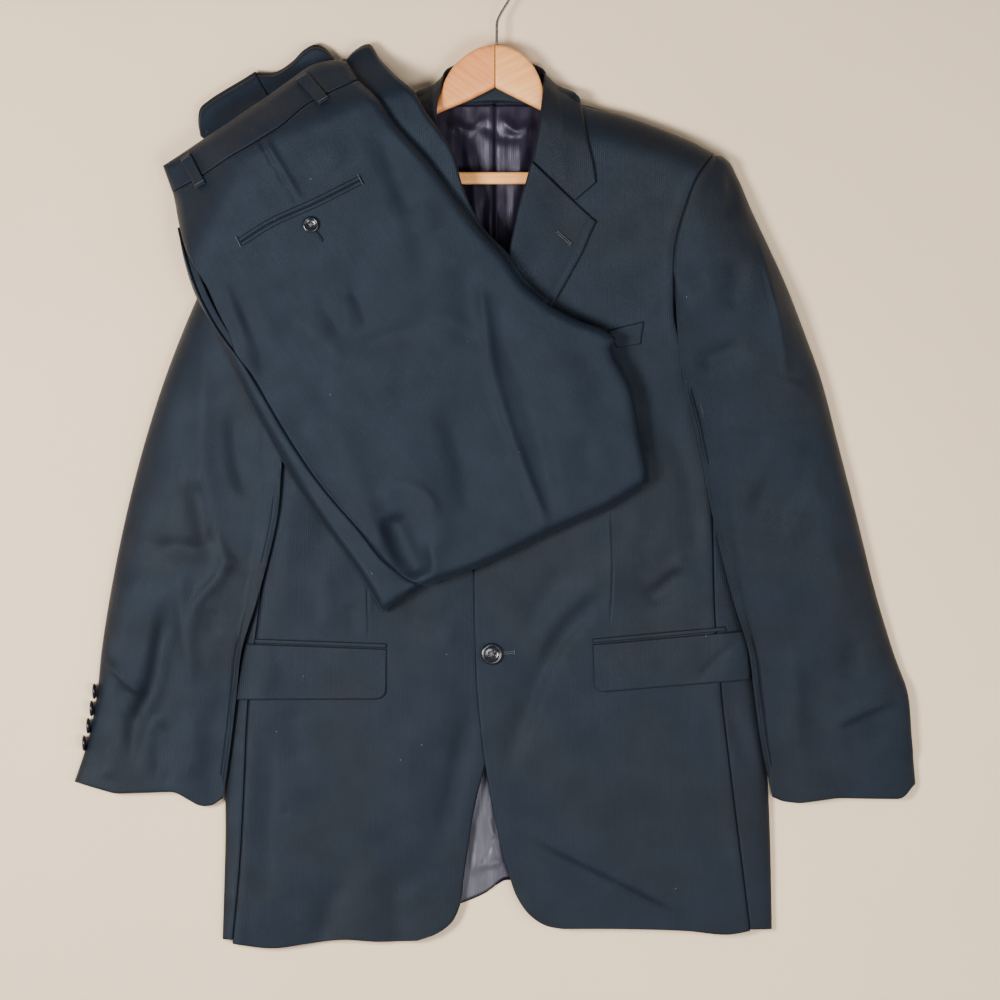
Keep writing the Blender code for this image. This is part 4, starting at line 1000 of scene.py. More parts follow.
class StitchRow:
    """A row of stitches along a path, made with Geometry Nodes."""

    def __init__(self, bench: Bench, thread: Material) -> None:
        """Builds the node tree.

        Args:
            bench: The workshop.
            thread: The thread's material.
        """
        self.bench = bench
        tree = bpy.data.node_groups.new("stitch row", "GeometryNodeTree")
        self.tree = tree
        for way in ("INPUT", "OUTPUT"):
            tree.interface.new_socket("Geometry", in_out=way, socket_type="NodeSocketGeometry")
        self.inputs = {
            name: tree.interface.new_socket(name, in_out="INPUT", socket_type="NodeSocketFloat").identifier
            for name in ("Spacing", "Stitch length", "Thread radius", "Turn")
        }
        kinds = {
            "source": "NodeGroupInput", "sink": "NodeGroupOutput",
            "curve": "GeometryNodeMeshToCurve", "points": "GeometryNodeCurveToPoints",
            "body": "GeometryNodeMeshUVSphere", "place": "GeometryNodeTransform",
            "size": "ShaderNodeCombineXYZ", "turned": "ShaderNodeCombineXYZ",
            "spread": "GeometryNodeInstanceOnPoints", "wobble": "FunctionNodeRandomValue",
            "twist": "FunctionNodeRotateRotation", "real": "GeometryNodeRealizeInstances",
            "dress": "GeometryNodeSetMaterial",
        }
        nodes = {name: tree.nodes.new(kind) for name, kind in kinds.items()}
        nodes["points"].mode = "LENGTH"
        nodes["twist"].rotation_space = "LOCAL"
        nodes["wobble"].data_type = "FLOAT"
        for name, socket, value in (
            ("body", "Segments", 6), ("body", "Rings", 4), ("body", "Radius", 1.0), ("wobble", "Min", 0.88),
            ("wobble", "Max", 1.12), ("wobble", "Seed", 5), ("dress", "Material", thread),
        ):
            nodes[name].inputs[socket].default_value = value
        for first, output, second, socket in (
            ("source", "Geometry", "curve", 0), ("curve", 0, "points", 0),
            ("source", "Spacing", "points", "Length"),
            ("source", "Thread radius", "size", 0), ("source", "Thread radius", "size", 1),
            ("source", "Stitch length", "size", 2),
            ("body", 0, "place", "Geometry"), ("size", 0, "place", "Scale"),
            ("points", "Points", "spread", "Points"), ("place", 0, "spread", "Instance"),
            ("source", "Turn", "turned", 0), ("points", "Rotation", "twist", 0), ("turned", 0, "twist", 1),
            ("twist", 0, "spread", "Rotation"), ("wobble", 1, "spread", "Scale"),
            ("spread", 0, "real", 0), ("real", 0, "dress", "Geometry"), ("dress", 0, "sink", 0),
        ):
            tree.links.new(nodes[first].outputs[output], nodes[second].inputs[socket])

    def sew(self, name: str, paths: Sequence[Array], spacing: float, length: float, radius: float,
            finish: Finish, across: bool = False) -> Object:
        """Sews along paths.

        Args:
            name: The piece's name.
            paths: Lines of points in millimetres.
            spacing: From one stitch to the next.
            length: Half a stitch's length.
            radius: The thread's radius.
            finish: The slot that the thread belongs to.
            across: Whether each stitch lies across the path.

        Returns:
            The stitches as one piece.
        """
        points, edges = [], []
        for path in paths:
            edges += [(len(points) + i, len(points) + i + 1) for i in range(len(path) - 1)]
            points += list(path)
        mesh = bpy.data.meshes.new(f"{name}_path")
        mesh.from_pydata(self.bench.metres(points).tolist(), edges, [])
        guide = placed(f"{name}_path", mesh)
        modifier = guide.modifiers.new("stitches", "NODES")
        modifier.node_group = self.tree
        values = (spacing * MM, length * MM, radius * MM, math.pi / 2 if across else 0.0)
        for key, value in zip(self.inputs.values(), values):
            modifier[key] = value
        made = baked(guide, name)
        bpy.data.meshes.remove(mesh)
        made.shade_smooth()
        return self.bench.piece(name, made, finish)


# ---- jacket: its pieces

def bent_across(first: Array, middle: Array, last: Array, share: Array) -> Array:
    """Points on the soft bend through three lines of points, at shares across."""
    s = share[None, :, None]
    curve = 2 * (s - 0.5) * (s - 1) * first[:, None] + 4 * s * (1 - s) * middle[:, None]
    return curve + 2 * s * (s - 0.5) * last[:, None]


def turned_over(grid: Array) -> Array:
    """The grid with its first column rolled over outward and down, as cloth is at a soft fold."""
    out = grid[:, :1, :2] - grid[:, 2:3, :2]
    out = out / np.maximum(np.linalg.norm(out, axis=-1, keepdims=True), 1e-6)
    wraps = []
    for reach, drop in ((1.7, 3.5), (2.0, 2.7), (1.8, 1.7), (1.1, 0.7)):
        wraps.append(np.concatenate([grid[:, :1, :2] + out * reach, grid[:, :1, 2:] - drop], axis=-1))
    return np.concatenate(wraps + [grid], axis=1)


@dataclass
class Jacket:
    """The buttoned jacket, from its sizes."""

    bench: Bench
    lie: JacketLie = field(default_factory=JacketLie)
    wall: float = 1.3
    collar_wall: float = 1.8
    seam: float = 0.5
    layer: float = 0.8
    pitch: float = 3.1
    underarm_y: float = 121.0
    side_tuck: float = 20.0
    front_top: Line = (
        (51, 374), (60, 371), (78, 365.5), (121, 354.5), (152, 343.5), (179, 332.5), (202, 321),
    )
    armhole: Line = (
        (202, 321), (187, 300), (175, 270), (166, 236), (164, 201), (164.5, 180), (167, 160), (174, 143),
        (186, 127),
    )
    edge_left: tuple[Line, ...] = (
        ((51, 374), (44, 341), (35, 310), (24, 272), (12, 218), (0, 166), (-11, 115), (-17, 69), (-20, 37)),
        ((-20, 37), (-20, -66), (-19, -114), (-16, -187), (-9, -247), (0, -297), (6, -325), (13, -348)),
        ((13, -348), (20, -367), (33, -385), (47, -394), (62, -397)),
    )
    edge_right: tuple[Line, ...] = (
        ((-58, 374), (-53, 341), (-41, 310), (-27, 272), (-12, 218), (0, 166), (7, 115), (12, 69), (13, 37)),
        ((13, 37), (13, -129), (8, -175), (-3, -225), (-17, -276), (-25, -323), (-29, -351)),
        ((-29, -351), (-32, -374), (-40, -391), (-53, -401), (-72, -408)),
    )
    seam_left: Line = (
        (186, 127), (199, 40), (201, -32), (203, -110), (208, -168), (218, -257), (231, -359), (236, -399),
    )
    seam_right: Line = (
        (186, 127), (199, 40), (210, -32), (219, -110), (228, -187), (232, -267), (236, -337), (243, -411),
    )
    hem_left: Line = ((62, -397), (113, -397), (178, -399), (219, -402), (236, -399))
    hem_right: Line = ((72, -408), (107, -409), (140, -407), (173, -411), (206, -415), (243, -411))
    darts_left: Line = ((106.7, -5.5), (108.6, -70), (105.8, -120))
    darts_right: Line = ((-117.8, -80), (-116.8, -128))
    back_hem_line: Line = (
        (-240, -404), (-130, -397), (-70, -386), (-28, -373), (-8, -364), (8, -353), (22, -353), (60, -375),
        (130, -394), (240, -397),
    )
    hem_level: float = -400.0
    # Roll line, middle and outer edge of the lapel, from the notch down.
    lapel_rows: tuple[Line, ...] = (
        ((35, 310), (73, 274), (93, 256)), ((30, 292), (65, 262), (88, 246)),
        ((24, 272), (56, 245), (81, 229)), ((17, 240), (44, 222), (68, 205)),
        ((10, 208), (34, 193), (53, 179)), ((0, 166), (21, 157), (39, 152)),
        ((-11, 115), (5, 108), (18, 112)), ((-17, 69), (-9, 70), (-2, 76)),
        ((-19, 50), (-17, 50), (-15, 51)),
    )
    lapel_dents: tuple[Fold, ...] = (
        Fold(((40, 290), (70, 240), (60, 190)), 16, -0.8), Fold(((14, 200), (24, 140), (0, 90)), 9, -0.8),
    )
    rows_under: int = 6
    neck_shift: Line = ((240, 0), (272, 3), (310, 6), (328, 9), (345, 12), (366, 9), (382, 4), (395, 0))
    # Fold, middle and outer edge of the collar, their heights, and how much it lies on the fronts.
    collar_half: tuple[tuple, ...] = (
        ((35.8, 310.6), (73.4, 274.8), (93, 292), 32, 36, 1), ((39, 328), (68, 305), (90, 311), 34, 36, 1),
        ((42, 345), (64, 333), (84, 336), 36, 36, 1), ((44.5, 366), (61, 357), (80, 361), 35, 33, 0.85),
        ((46, 382), (60, 372), (77, 373), 30, 24, 0.3), ((46.5, 393), (57, 384), (67, 380), 18, 12, 0),
        ((37, 400), (42, 386), (48, 372), 7.7, 0.5, 0), ((20, 403), (22, 384), (24, 364), 6.4, 0.3, 0),
        ((0, 404), (0, 384), (0, 362), 6.2, 0.3, 0),
    )
    flap_left: Line = ((90, -133.4), (235, -120.4), (92, -178), (235, -166))
    flap_right: Line = ((-100, -137.6), (-230, -132.6), (-101, -184), (-241, -184.5))
    flap_corner: float = 9.0
    flap_dents: tuple[Fold, ...] = (
        Fold(((226, -128), (207, -144), (182, -169)), 5, -1.7, 0.3),
        Fold(((100, -150), (160, -150)), 16, 0.8), Fold(((-200, -140), (-215, -180)), 14, 0.9),
    )
    jet_left: Line = ((90, -128), (213, -116.8))
    jet_right: Line = ((-100, -132.5), (-222, -128))
    jet_width: float = 4.2
    welt: Line = ((104, 156), (137, 164.5), (112, 140), (134, 143.5))

    def build(self) -> None:
        """Makes every piece of the jacket."""
        self.back()
        jets = [
            self.strip("flap_jet_left", self.jet_left, 2.1),
            self.strip("flap_jet_right", self.jet_right, 2.7),
        ]
        welt = self.corners("chest_welt", self.welt, 2.1, (self.jet_width * 4.6, 34))
        self.front("left", 1, self.edge_left, self.seam_left, self.hem_left, self.lie.top,
                   (0.572, 5), jets[0], welt)
        self.front("right", -1, self.edge_right, self.seam_right, mirrored(self.hem_right), self.lie.under,
                   (0.562, 6), jets[1])
        self.side_panel("left", 1, self.seam_left, -397.5)
        self.side_panel("right", -1, self.seam_right, -407)
        self.sleeve("left", SLEEVE_LEFT)
        self.sleeve("right", SLEEVE_RIGHT)
        self.lapel("left", 1, len(self.lapel_rows), self.lie.top)
        self.lapel("right", -1, self.rows_under, self.lie.under)
        self.collar()
        self.flap("left", self.flap_left)
        self.flap("right", self.flap_right)

    def sewn(self, node: str, grid: Array, cut: Cut | None, **more: object) -> Object:
        """A piece of jacket cloth named for its node."""
        return self.bench.cloth(f"cloth_{node}", grid, Finish.JACKET, cut, node, **more)

    def front(self, name: str, side: int, edge: Sequence[Line], seam: Line, hem: Line, height: Height,
              dart: tuple[float, float], *sewn_on: Object) -> Object:
        """One front, with its dart, from the front edge to the side seam.

        Args:
            name: left or right.
            side: 1 for the left front, -1 for the right.
            edge: Its roll line, front edge and rounded corner.
            seam: Its side seam, for the left.
            hem: Its hem.
            height: How high it lies.
            dart: Where its dart is across the panel and how wide.
            sewn_on: Small pieces on it.

        Returns:
            The piece.
        """
        places = stops(225, self.pitch, 4, [dart])
        down = stops(790, self.pitch, 4)
        outer = [mirrored(self.armhole, side), mirrored(seam, side)]
        plan = patch([mirrored(self.front_top, side)], [hem], edge, outer, places, down)
        grid = raised(plan, height)
        line = self.darts_left if side > 0 else self.darts_right
        grid[..., 2] += Fold(line, 1.5, -1.3, fade=0.2).rise(plan[..., 0], plan[..., 1])
        grid[..., 2] += Fold(line, 9, 0.9, fade=0.3).rise(plan[..., 0], plan[..., 1])
        grid = rolled(grid, left=(3.0, 1.3), right=(2.4, 1.1), bottom=(2.6, 1.2), top=(2.4, 0.9))
        grid[..., 2] += 0.8 * np.exp(-(((rim_distance(grid)["right"] - 6) / 5) ** 2))
        grid = flanged(grid, "right", 0.5 + 7 * np.exp(-(((grid[:, -1, 1] - 180) / 24) ** 2)), 3.4)
        cut = Cut((f"cloth_back_{name}", "satin_back_lining"), sewn_on=sewn_on)
        return self.sewn(f"front_{name}", grid, cut)

    def side_panel(self, name: str, side: int, seam: Line, hem_y: float) -> None:
        """From the front's seam round the lying edge and under to the back."""
        lie = self.lie
        down = self.underarm_y + 3 + (hem_y - self.underarm_y - 3) * stops(520, self.pitch, 3)
        near = follow(seam, down, 1) + self.seam
        far = side * lie.column("right" if side > 0 else "left", down)
        share = np.concatenate([
            [0, 0.02, 0.04, 0.07, 0.11], np.linspace(0.16, 0.88, 13), [0.92, 0.955, 0.98, 0.993]
        ])
        across = near[:, None] + (far - near)[:, None] * share[None, :]
        y = np.repeat(down[:, None], len(share), axis=1)
        top = np.stack([side * across, y, lie.top(side * across, y)], axis=-1)
        top = flanged(rolled(top, left=(2.4, 1.1)), "left", 4.0, 2.4)
        turn = []
        under = ((0, 4.2), (0.6, 2.6), (2.2, 1.2), (5, 0.5), (8, 0.3), (14, 0.3), (self.side_tuck, 0.3))
        for tuck, z in under:
            turn.append(np.stack([side * (far - tuck), down, np.full(len(down), z)], axis=-1)[:, None])
        grid = np.concatenate([top] + turn, axis=1)
        self.sewn(f"side_{name}", grid, Cut((f"cloth_back_{name}", "floor")), probe=slice(3, len(share) + 3))

    def back_hem(self, x: Array) -> Array:
        """The back's hem, which shows between the fronts."""
        return follow(self.back_hem_line, x)

    def back_height(self, x: Array, y: Array) -> Array:
        """The back lies on the surface and turns up to the shoulder seam and over the collar's leaf."""
        lie = self.lie
        shoulder = follow(lie.shoulder, np.abs(x))
        near = 1 - quarter((shoulder - y) / 22)
        over_leaf = 2.9 * step((90 - np.abs(x)) / 30) * step((y - 335) / 20)
        return 0.3 + over_leaf + (lie.shoulder_edge - 2.3) * near * step((np.abs(x) - 62) / 25)

    def back(self) -> None:
        """Both halves of the back, and the lining in it with its pleat."""
        shoulder = self.lie.shoulder
        for name, side in (("left", 1), ("right", -1)):
            rows = np.concatenate([np.linspace(372, 124, 45), np.linspace(118, self.hem_level, 80)])
            grid = []
            for y in rows:
                if y > self.underarm_y:
                    hole = follow(self.armhole, y, 1)
                    reach = np.interp(y, *np.array(shoulder[::-1], float).T[::-1])
                    far = float(min(hole, reach)) - self.seam
                else:
                    far = side * float(self.lie.column("right" if side > 0 else "left", y))
                    far -= self.side_tuck + self.seam
                across = side * np.linspace(self.seam / 2, far, 32)
                down = y * (self.back_hem(across) / self.hem_level if y < 0 else np.ones(32))
                grid.append(np.stack([across, down, self.back_height(across, down)], axis=-1))
            self.sewn(f"back_{name}", np.array(grid), Cut(("floor",)), up=False)
        rows = np.concatenate([
            np.linspace(366, 125, 110), np.linspace(120, -290, 60), np.linspace(-293, self.hem_level, 45)
        ])
        pleat_x = np.array([-30, -16, -9, -5, -2.5, -1.2, 0.2, 1.4, 4, 9, 16, 26, 38])
        pleat_z = np.array([0, 0.6, 2.0, 3.0, 2.9, 1.6, -0.2, -0.5, 0.2, 0.9, 0.9, 0.3, 0])
        grid = []
        for y in rows:
            half = float(np.interp(y, (-400, 100, 125, 320, 350, 372), (222, 178, 150, 150, 100, 46)))
            across = np.concatenate([
                np.linspace(-half, -32, 26), np.linspace(-30, 38, 50), np.linspace(40, half, 26)
            ])
            down = y * (self.back_hem(across) / self.hem_level if y < 0 else np.ones(len(across)))
            down = down + 1.5 * (y < 0)
            in_neck = float(step((y - 60) / 60))
            pleat = np.interp(across, pleat_x, pleat_z) * (0.25 + 0.75 * in_neck)
            folds = folded(across, down, LINING_FOLDS)
            high = 1.6 + 2.6 * float(step((y - 300) / 40))
            z = 0.3 + self.wall + high + np.maximum(pleat + folds, -1.2)
            grid.append(np.stack([across, down, z], axis=-1))
        self.bench.cloth(
            "satin_back_lining", np.array(grid), Finish.LINING, Cut(("cloth_back_left", "cloth_back_right")),
            "back_lining", wall=1.0,
        )
        across = np.linspace(-30, 30, 40)
        stand = []
        for share in np.linspace(0, 1, 14):
            y = 395 - 0.004 * across * across - 25.5 * share
            stand.append(np.stack([across, y, 7.0 + 2.4 * (share - 0.5) ** 2 * np.ones(40)], axis=-1))
        grid = rolled(np.array(stand), bottom=(1.6, 0.7), top=(1.6, 0.7))
        self.sewn("collar_stand", grid, Cut(("satin_back_lining",)))

    def sleeve(self, name: str, lie: SleeveLie) -> None:
        """Upper and under sleeve, two walls that make one flattened tube, open at armhole and cuff."""
        share = stops(130, 2.9, 7)
        level = 0.0034 + 0.9966 * stops(600, 3.1, 4)
        shifts = (-0.03, -0.015, 0, 0.015, 0.03)
        ends = np.mean([np.interp(share + shift, *zip(*lie.cuff)) for shift in shifts], axis=0)
        y = lie.top_y - level[:, None] * (lie.top_y - ends)[None, :]
        inner, outer = lie.column("inner", y) + self.seam, lie.column("outer", y)
        x = lie.side * (inner + (outer - inner) * share[None, :])
        z = lie.top(x, y)
        base = lie.base(x, y)
        sewn = step((y[:, 0] - lie.loose_below) / (lie.sewn_above - lie.loose_below))
        first, last = [], []
        for part, lift, deep in ((0.045, 0.0, 6.0), (0.027, 0.3, 4.6), (0.012, 1.0, 3.0), (0.003, 2.6, 1.4)):
            loose = inner[:, 0] + (outer[:, 0] - inner[:, 0]) * part
            low = base[:, 0] + lift
            wrap_x = loose + (inner[:, 0] - 0.8 * deep - loose) * sewn
            wrap_z = low + (z[:, 0] - deep - low) * sewn
            first.append(np.stack([lie.side * wrap_x, y[:, 0], wrap_z], axis=-1)[:, None])
            far = outer[:, -1] - (outer[:, -1] - inner[:, -1]) * part
            last.insert(0, np.stack([lie.side * far, y[:, -1], base[:, -1] + lift], axis=-1)[:, None])
        top = rolled(np.stack([x, y, z], axis=-1), bottom=(2.6, 1.5))
        dip = step((y - 172) / 30) * (1 - quarter(rim_distance(top)["left"] / 3.0))
        top[..., 2] -= 1.3 * dip
        grid = np.concatenate(first + [top] + last, axis=1)
        under = f"sleeve_{name}_under"
        self.sewn(f"sleeve_{name}_upper", grid, Cut((f"cloth_{under}",)), probe=slice(4, -4), wrap=True)
        picked = np.linspace(0, len(level) - 1, 100).astype(int)
        rows = []
        for r in picked:
            margin = max(0.07, 3.2 / float(outer[r, 0] - inner[r, 0]))
            low = margin + (1 - 2 * margin) * np.linspace(0, 1, 30)
            low_y = np.interp(low, share, y[r])
            span = np.interp(low, share, outer[r] - inner[r])
            low_x = lie.side * (np.interp(low, share, inner[r]) + span * low)
            rows.append(np.stack([low_x, low_y, lie.base(low_x, low_y)], axis=-1))
        self.sewn(under, np.array(rows), Cut(("floor", f"cloth_side_{name}")), up=False, wrap=True)

    def lapel(self, name: str, side: int, count: int, height: Height) -> None:
        """The folded-back front edge, fuller along the roll and with a soft rim."""
        lines = np.array(self.lapel_rows[:count], float).transpose(1, 0, 2)
        run = lengths(lines[1])
        at = np.unique(np.concatenate([np.linspace(0, run[-1], int(run[-1] / 2.6)), np.linspace(0, 5, 8)]))
        roll, middle, edge = (hermite(run, line, at) * (side, 1) for line in lines)
        if side < 0:
            roll[:, 0] -= np.interp(roll[:, 1], *zip(*self.neck_shift))
        share = stops(84, 2.6, 5)
        plan = bent_across(roll, middle, edge, share)
        grid = raised(plan, height)
        roll_up = 3.0 * np.exp(-((share[None, :] / 0.25) ** 2))
        grid[..., 2] += self.collar_wall + self.layer + roll_up + 1.2 * share[None, :]
        x, y = side * plan[..., 0], plan[..., 1]
        grid[..., 2] += folded(x, y, self.lapel_dents)
        grid = rolled(grid, right=(2.4, 1.3), top=(2.2, 1.2))
        grid[..., 2] -= 0.5 * np.exp(-(((rim_distance(grid)["right"] - 7) / 2.2) ** 2))
        grid = turned_over(grid)
        cut = Cut((f"cloth_front_{name}",), "folded")
        self.sewn(f"lapel_{name}", grid, cut, wall=self.collar_wall, grain=side * 32.0, probe=slice(5, None))

    def collar(self) -> None:
        """The collar, from one notch round the neck to the other."""
        left = list(self.collar_half)
        right = [
            ((-fold[0] - float(np.interp(fold[1], *zip(*self.neck_shift))), fold[1]),
             *mirrored((middle, edge)), *heights)
            for fold, middle, edge, *heights in reversed(left[:-1])
        ]
        rows = left + right
        lines = [np.array([row[k] for row in rows], float) for k in range(3)]
        run = lengths(lines[2] + lines[1])
        at = np.unique(np.concatenate([
            np.linspace(0, run[-1], 250), np.linspace(0, 8, 9), run[-1] - np.linspace(0, 8, 9)
        ]))
        fold, middle, edge = (hermite(run, line, at) for line in lines)
        fold_z, edge_z, on_front = (hermite(run, [row[k] for row in rows], at)[:, None] for k in (3, 4, 5))
        on_front = np.clip(on_front, 0, 1)
        share = np.unique(np.concatenate([stops(44, 2.4, 4), [0.5]]))
        s = share[None, :]
        first, second = np.clip(1 - 2 * s, 0, 1)[..., None], np.clip(2 * s - 1, 0, 1)[..., None]
        plan = first * fold[:, None] + (1 - first - second) * middle[:, None] + second * edge[:, None]
        flat = edge_z + (fold_z - edge_z) * (1 - s) ** 2.2
        roll = 1 + 2.5 * np.exp(-((s / 0.3) ** 2))
        over = self.lie.top(plan[..., 0], plan[..., 1]) + self.collar_wall + self.layer + roll
        z = flat + (over - flat) * on_front
        grid = np.concatenate([plan, z[..., None]], axis=-1)
        grid = rolled(grid, right=(2.2, 1.2), top=(2.2, 1.2), bottom=(2.2, 1.2))
        grid = turned_over(grid)
        grid[..., 2] = np.maximum(grid[..., 2], self.collar_wall + 0.4)
        cut = Cut(("cloth_front_left", "cloth_front_right", "cloth_collar_stand"), "folded")
        self.sewn("collar", grid, cut, wall=self.collar_wall, wrap=True, probe=slice(5, None))

    def corners(self, node: str, corners: Line, lift: float, size: Point) -> Object:
        """A small flat piece between four corners, with soft rims.

        Args:
            node: The node that it replaces.
            corners: Upper left, upper right, lower left and lower right.
            lift: How far it lies over its panel.
            size: Roughly its depth and its width, for the grid.

        Returns:
            The piece.
        """
        plan = quad(corners, stops(size[1], 2.4, 2.4)[None, :, None], stops(size[0], 2.0, 2.0)[:, None, None])
        return self.sewn(node, rolled(raised(plan, self.lie.top, lift), **all_round(1.5, 0.9)), None)

    def strip(self, node: str, line: Line, lift: float) -> Object:
        """A narrow jet below a line."""
        start, end = np.array(line, float)
        way = (end - start) / np.hypot(*(end - start))
        down = np.array([way[1], -way[0]]) * self.jet_width
        down = -down if down[1] > 0 else down
        return self.corners(node, (start, end, start + down, end + down), lift, (self.jet_width, 130))

    def flap(self, name: str, corners: Line) -> None:
        """A pocket flap with a round front corner, standing a little off the front at its lower edge."""
        upper, lower = np.array(corners[0], float), np.array(corners[2], float)
        u = np.unique(np.concatenate([stops(140, 2.6, 3), np.linspace(0, 0.075, 14)]))
        inward = np.clip(1 - u * np.hypot(*(np.array(corners[1], float) - upper)) / self.flap_corner, 0, 1)
        depth = 1 - (1 - np.sqrt(1 - inward**2)) * self.flap_corner / np.hypot(*(lower - upper))
        level = stops(46, 2.4, 3)
        plan = quad(corners, u[None, :, None], level[:, None, None] * depth[None, :, None])
        grid = raised(plan, self.lie.top, self.wall + self.layer)
        grid[..., 2] += 1.4 * level[:, None] + 2.2 * step((np.abs(plan[..., 0]) - 196) / 22)
        grid[..., 2] += folded(plan[..., 0], plan[..., 1], self.flap_dents)
        grid = rolled(grid, left=(2.0, 1.1), right=(2.0, 1.1), bottom=(2.0, 1.1), top=(1.5, 0.8))
        self.sewn(f"flap_{name}", grid, Cut((f"cloth_front_{name}", f"cloth_side_{name}")))


LINING_FOLDS = (
    Fold(((-34, 350), (-26, 325), (-21, 300), (-16, 240)), 7, 2.4),
    Fold(((32, 352), (24, 310), (14, 250)), 9, 2.2), Fold(((-46, 354), (-24, 343), (-5, 357)), 6, 2.6),
    Fold(((3, 358), (20, 342), (38, 353)), 6, 2.6),
    Fold(((-44, 338), (-12, 346), (8, 336), (36, 345)), 7, -1.4),
    Fold(((-14, 288), (-10, 250), (-4, 215)), 5, -0.8), Fold(((-3, -294), (2, -310)), 3, -0.9),
    Fold(((0, -310), (-8, -331)), 4, -0.9), Fold(((-20, -340), (8, -335)), 6, 1.0),
    Fold(((-14, -312), (-20, -352)), 5, 0.9),
)


# ---- buttons

@dataclass(frozen=True)
class ButtonSize:
    """A rimmed four-hole button."""

    radius: float
    height: float
    hole: float
    spread: float

    def profile(self) -> Line:
        """Half section, from the middle of the top round to the middle of the underside."""
        r, h = self.radius, self.height
        return (
            (0, 0.52 * h), (0.40 * r, 0.54 * h), (0.58 * r, 0.62 * h),
            (0.66 * r, 0.74 * h), (0.71 * r, 0.92 * h),
            (0.77 * r, h), (0.86 * r, 0.99 * h), (0.94 * r, 0.88 * h), (0.985 * r, 0.72 * h), (r, 0.55 * h),
            (0.985 * r, 0.36 * h), (0.93 * r, 0.15 * h), (0.84 * r, 0.04 * h), (0.6 * r, 0), (0, 0),
        )


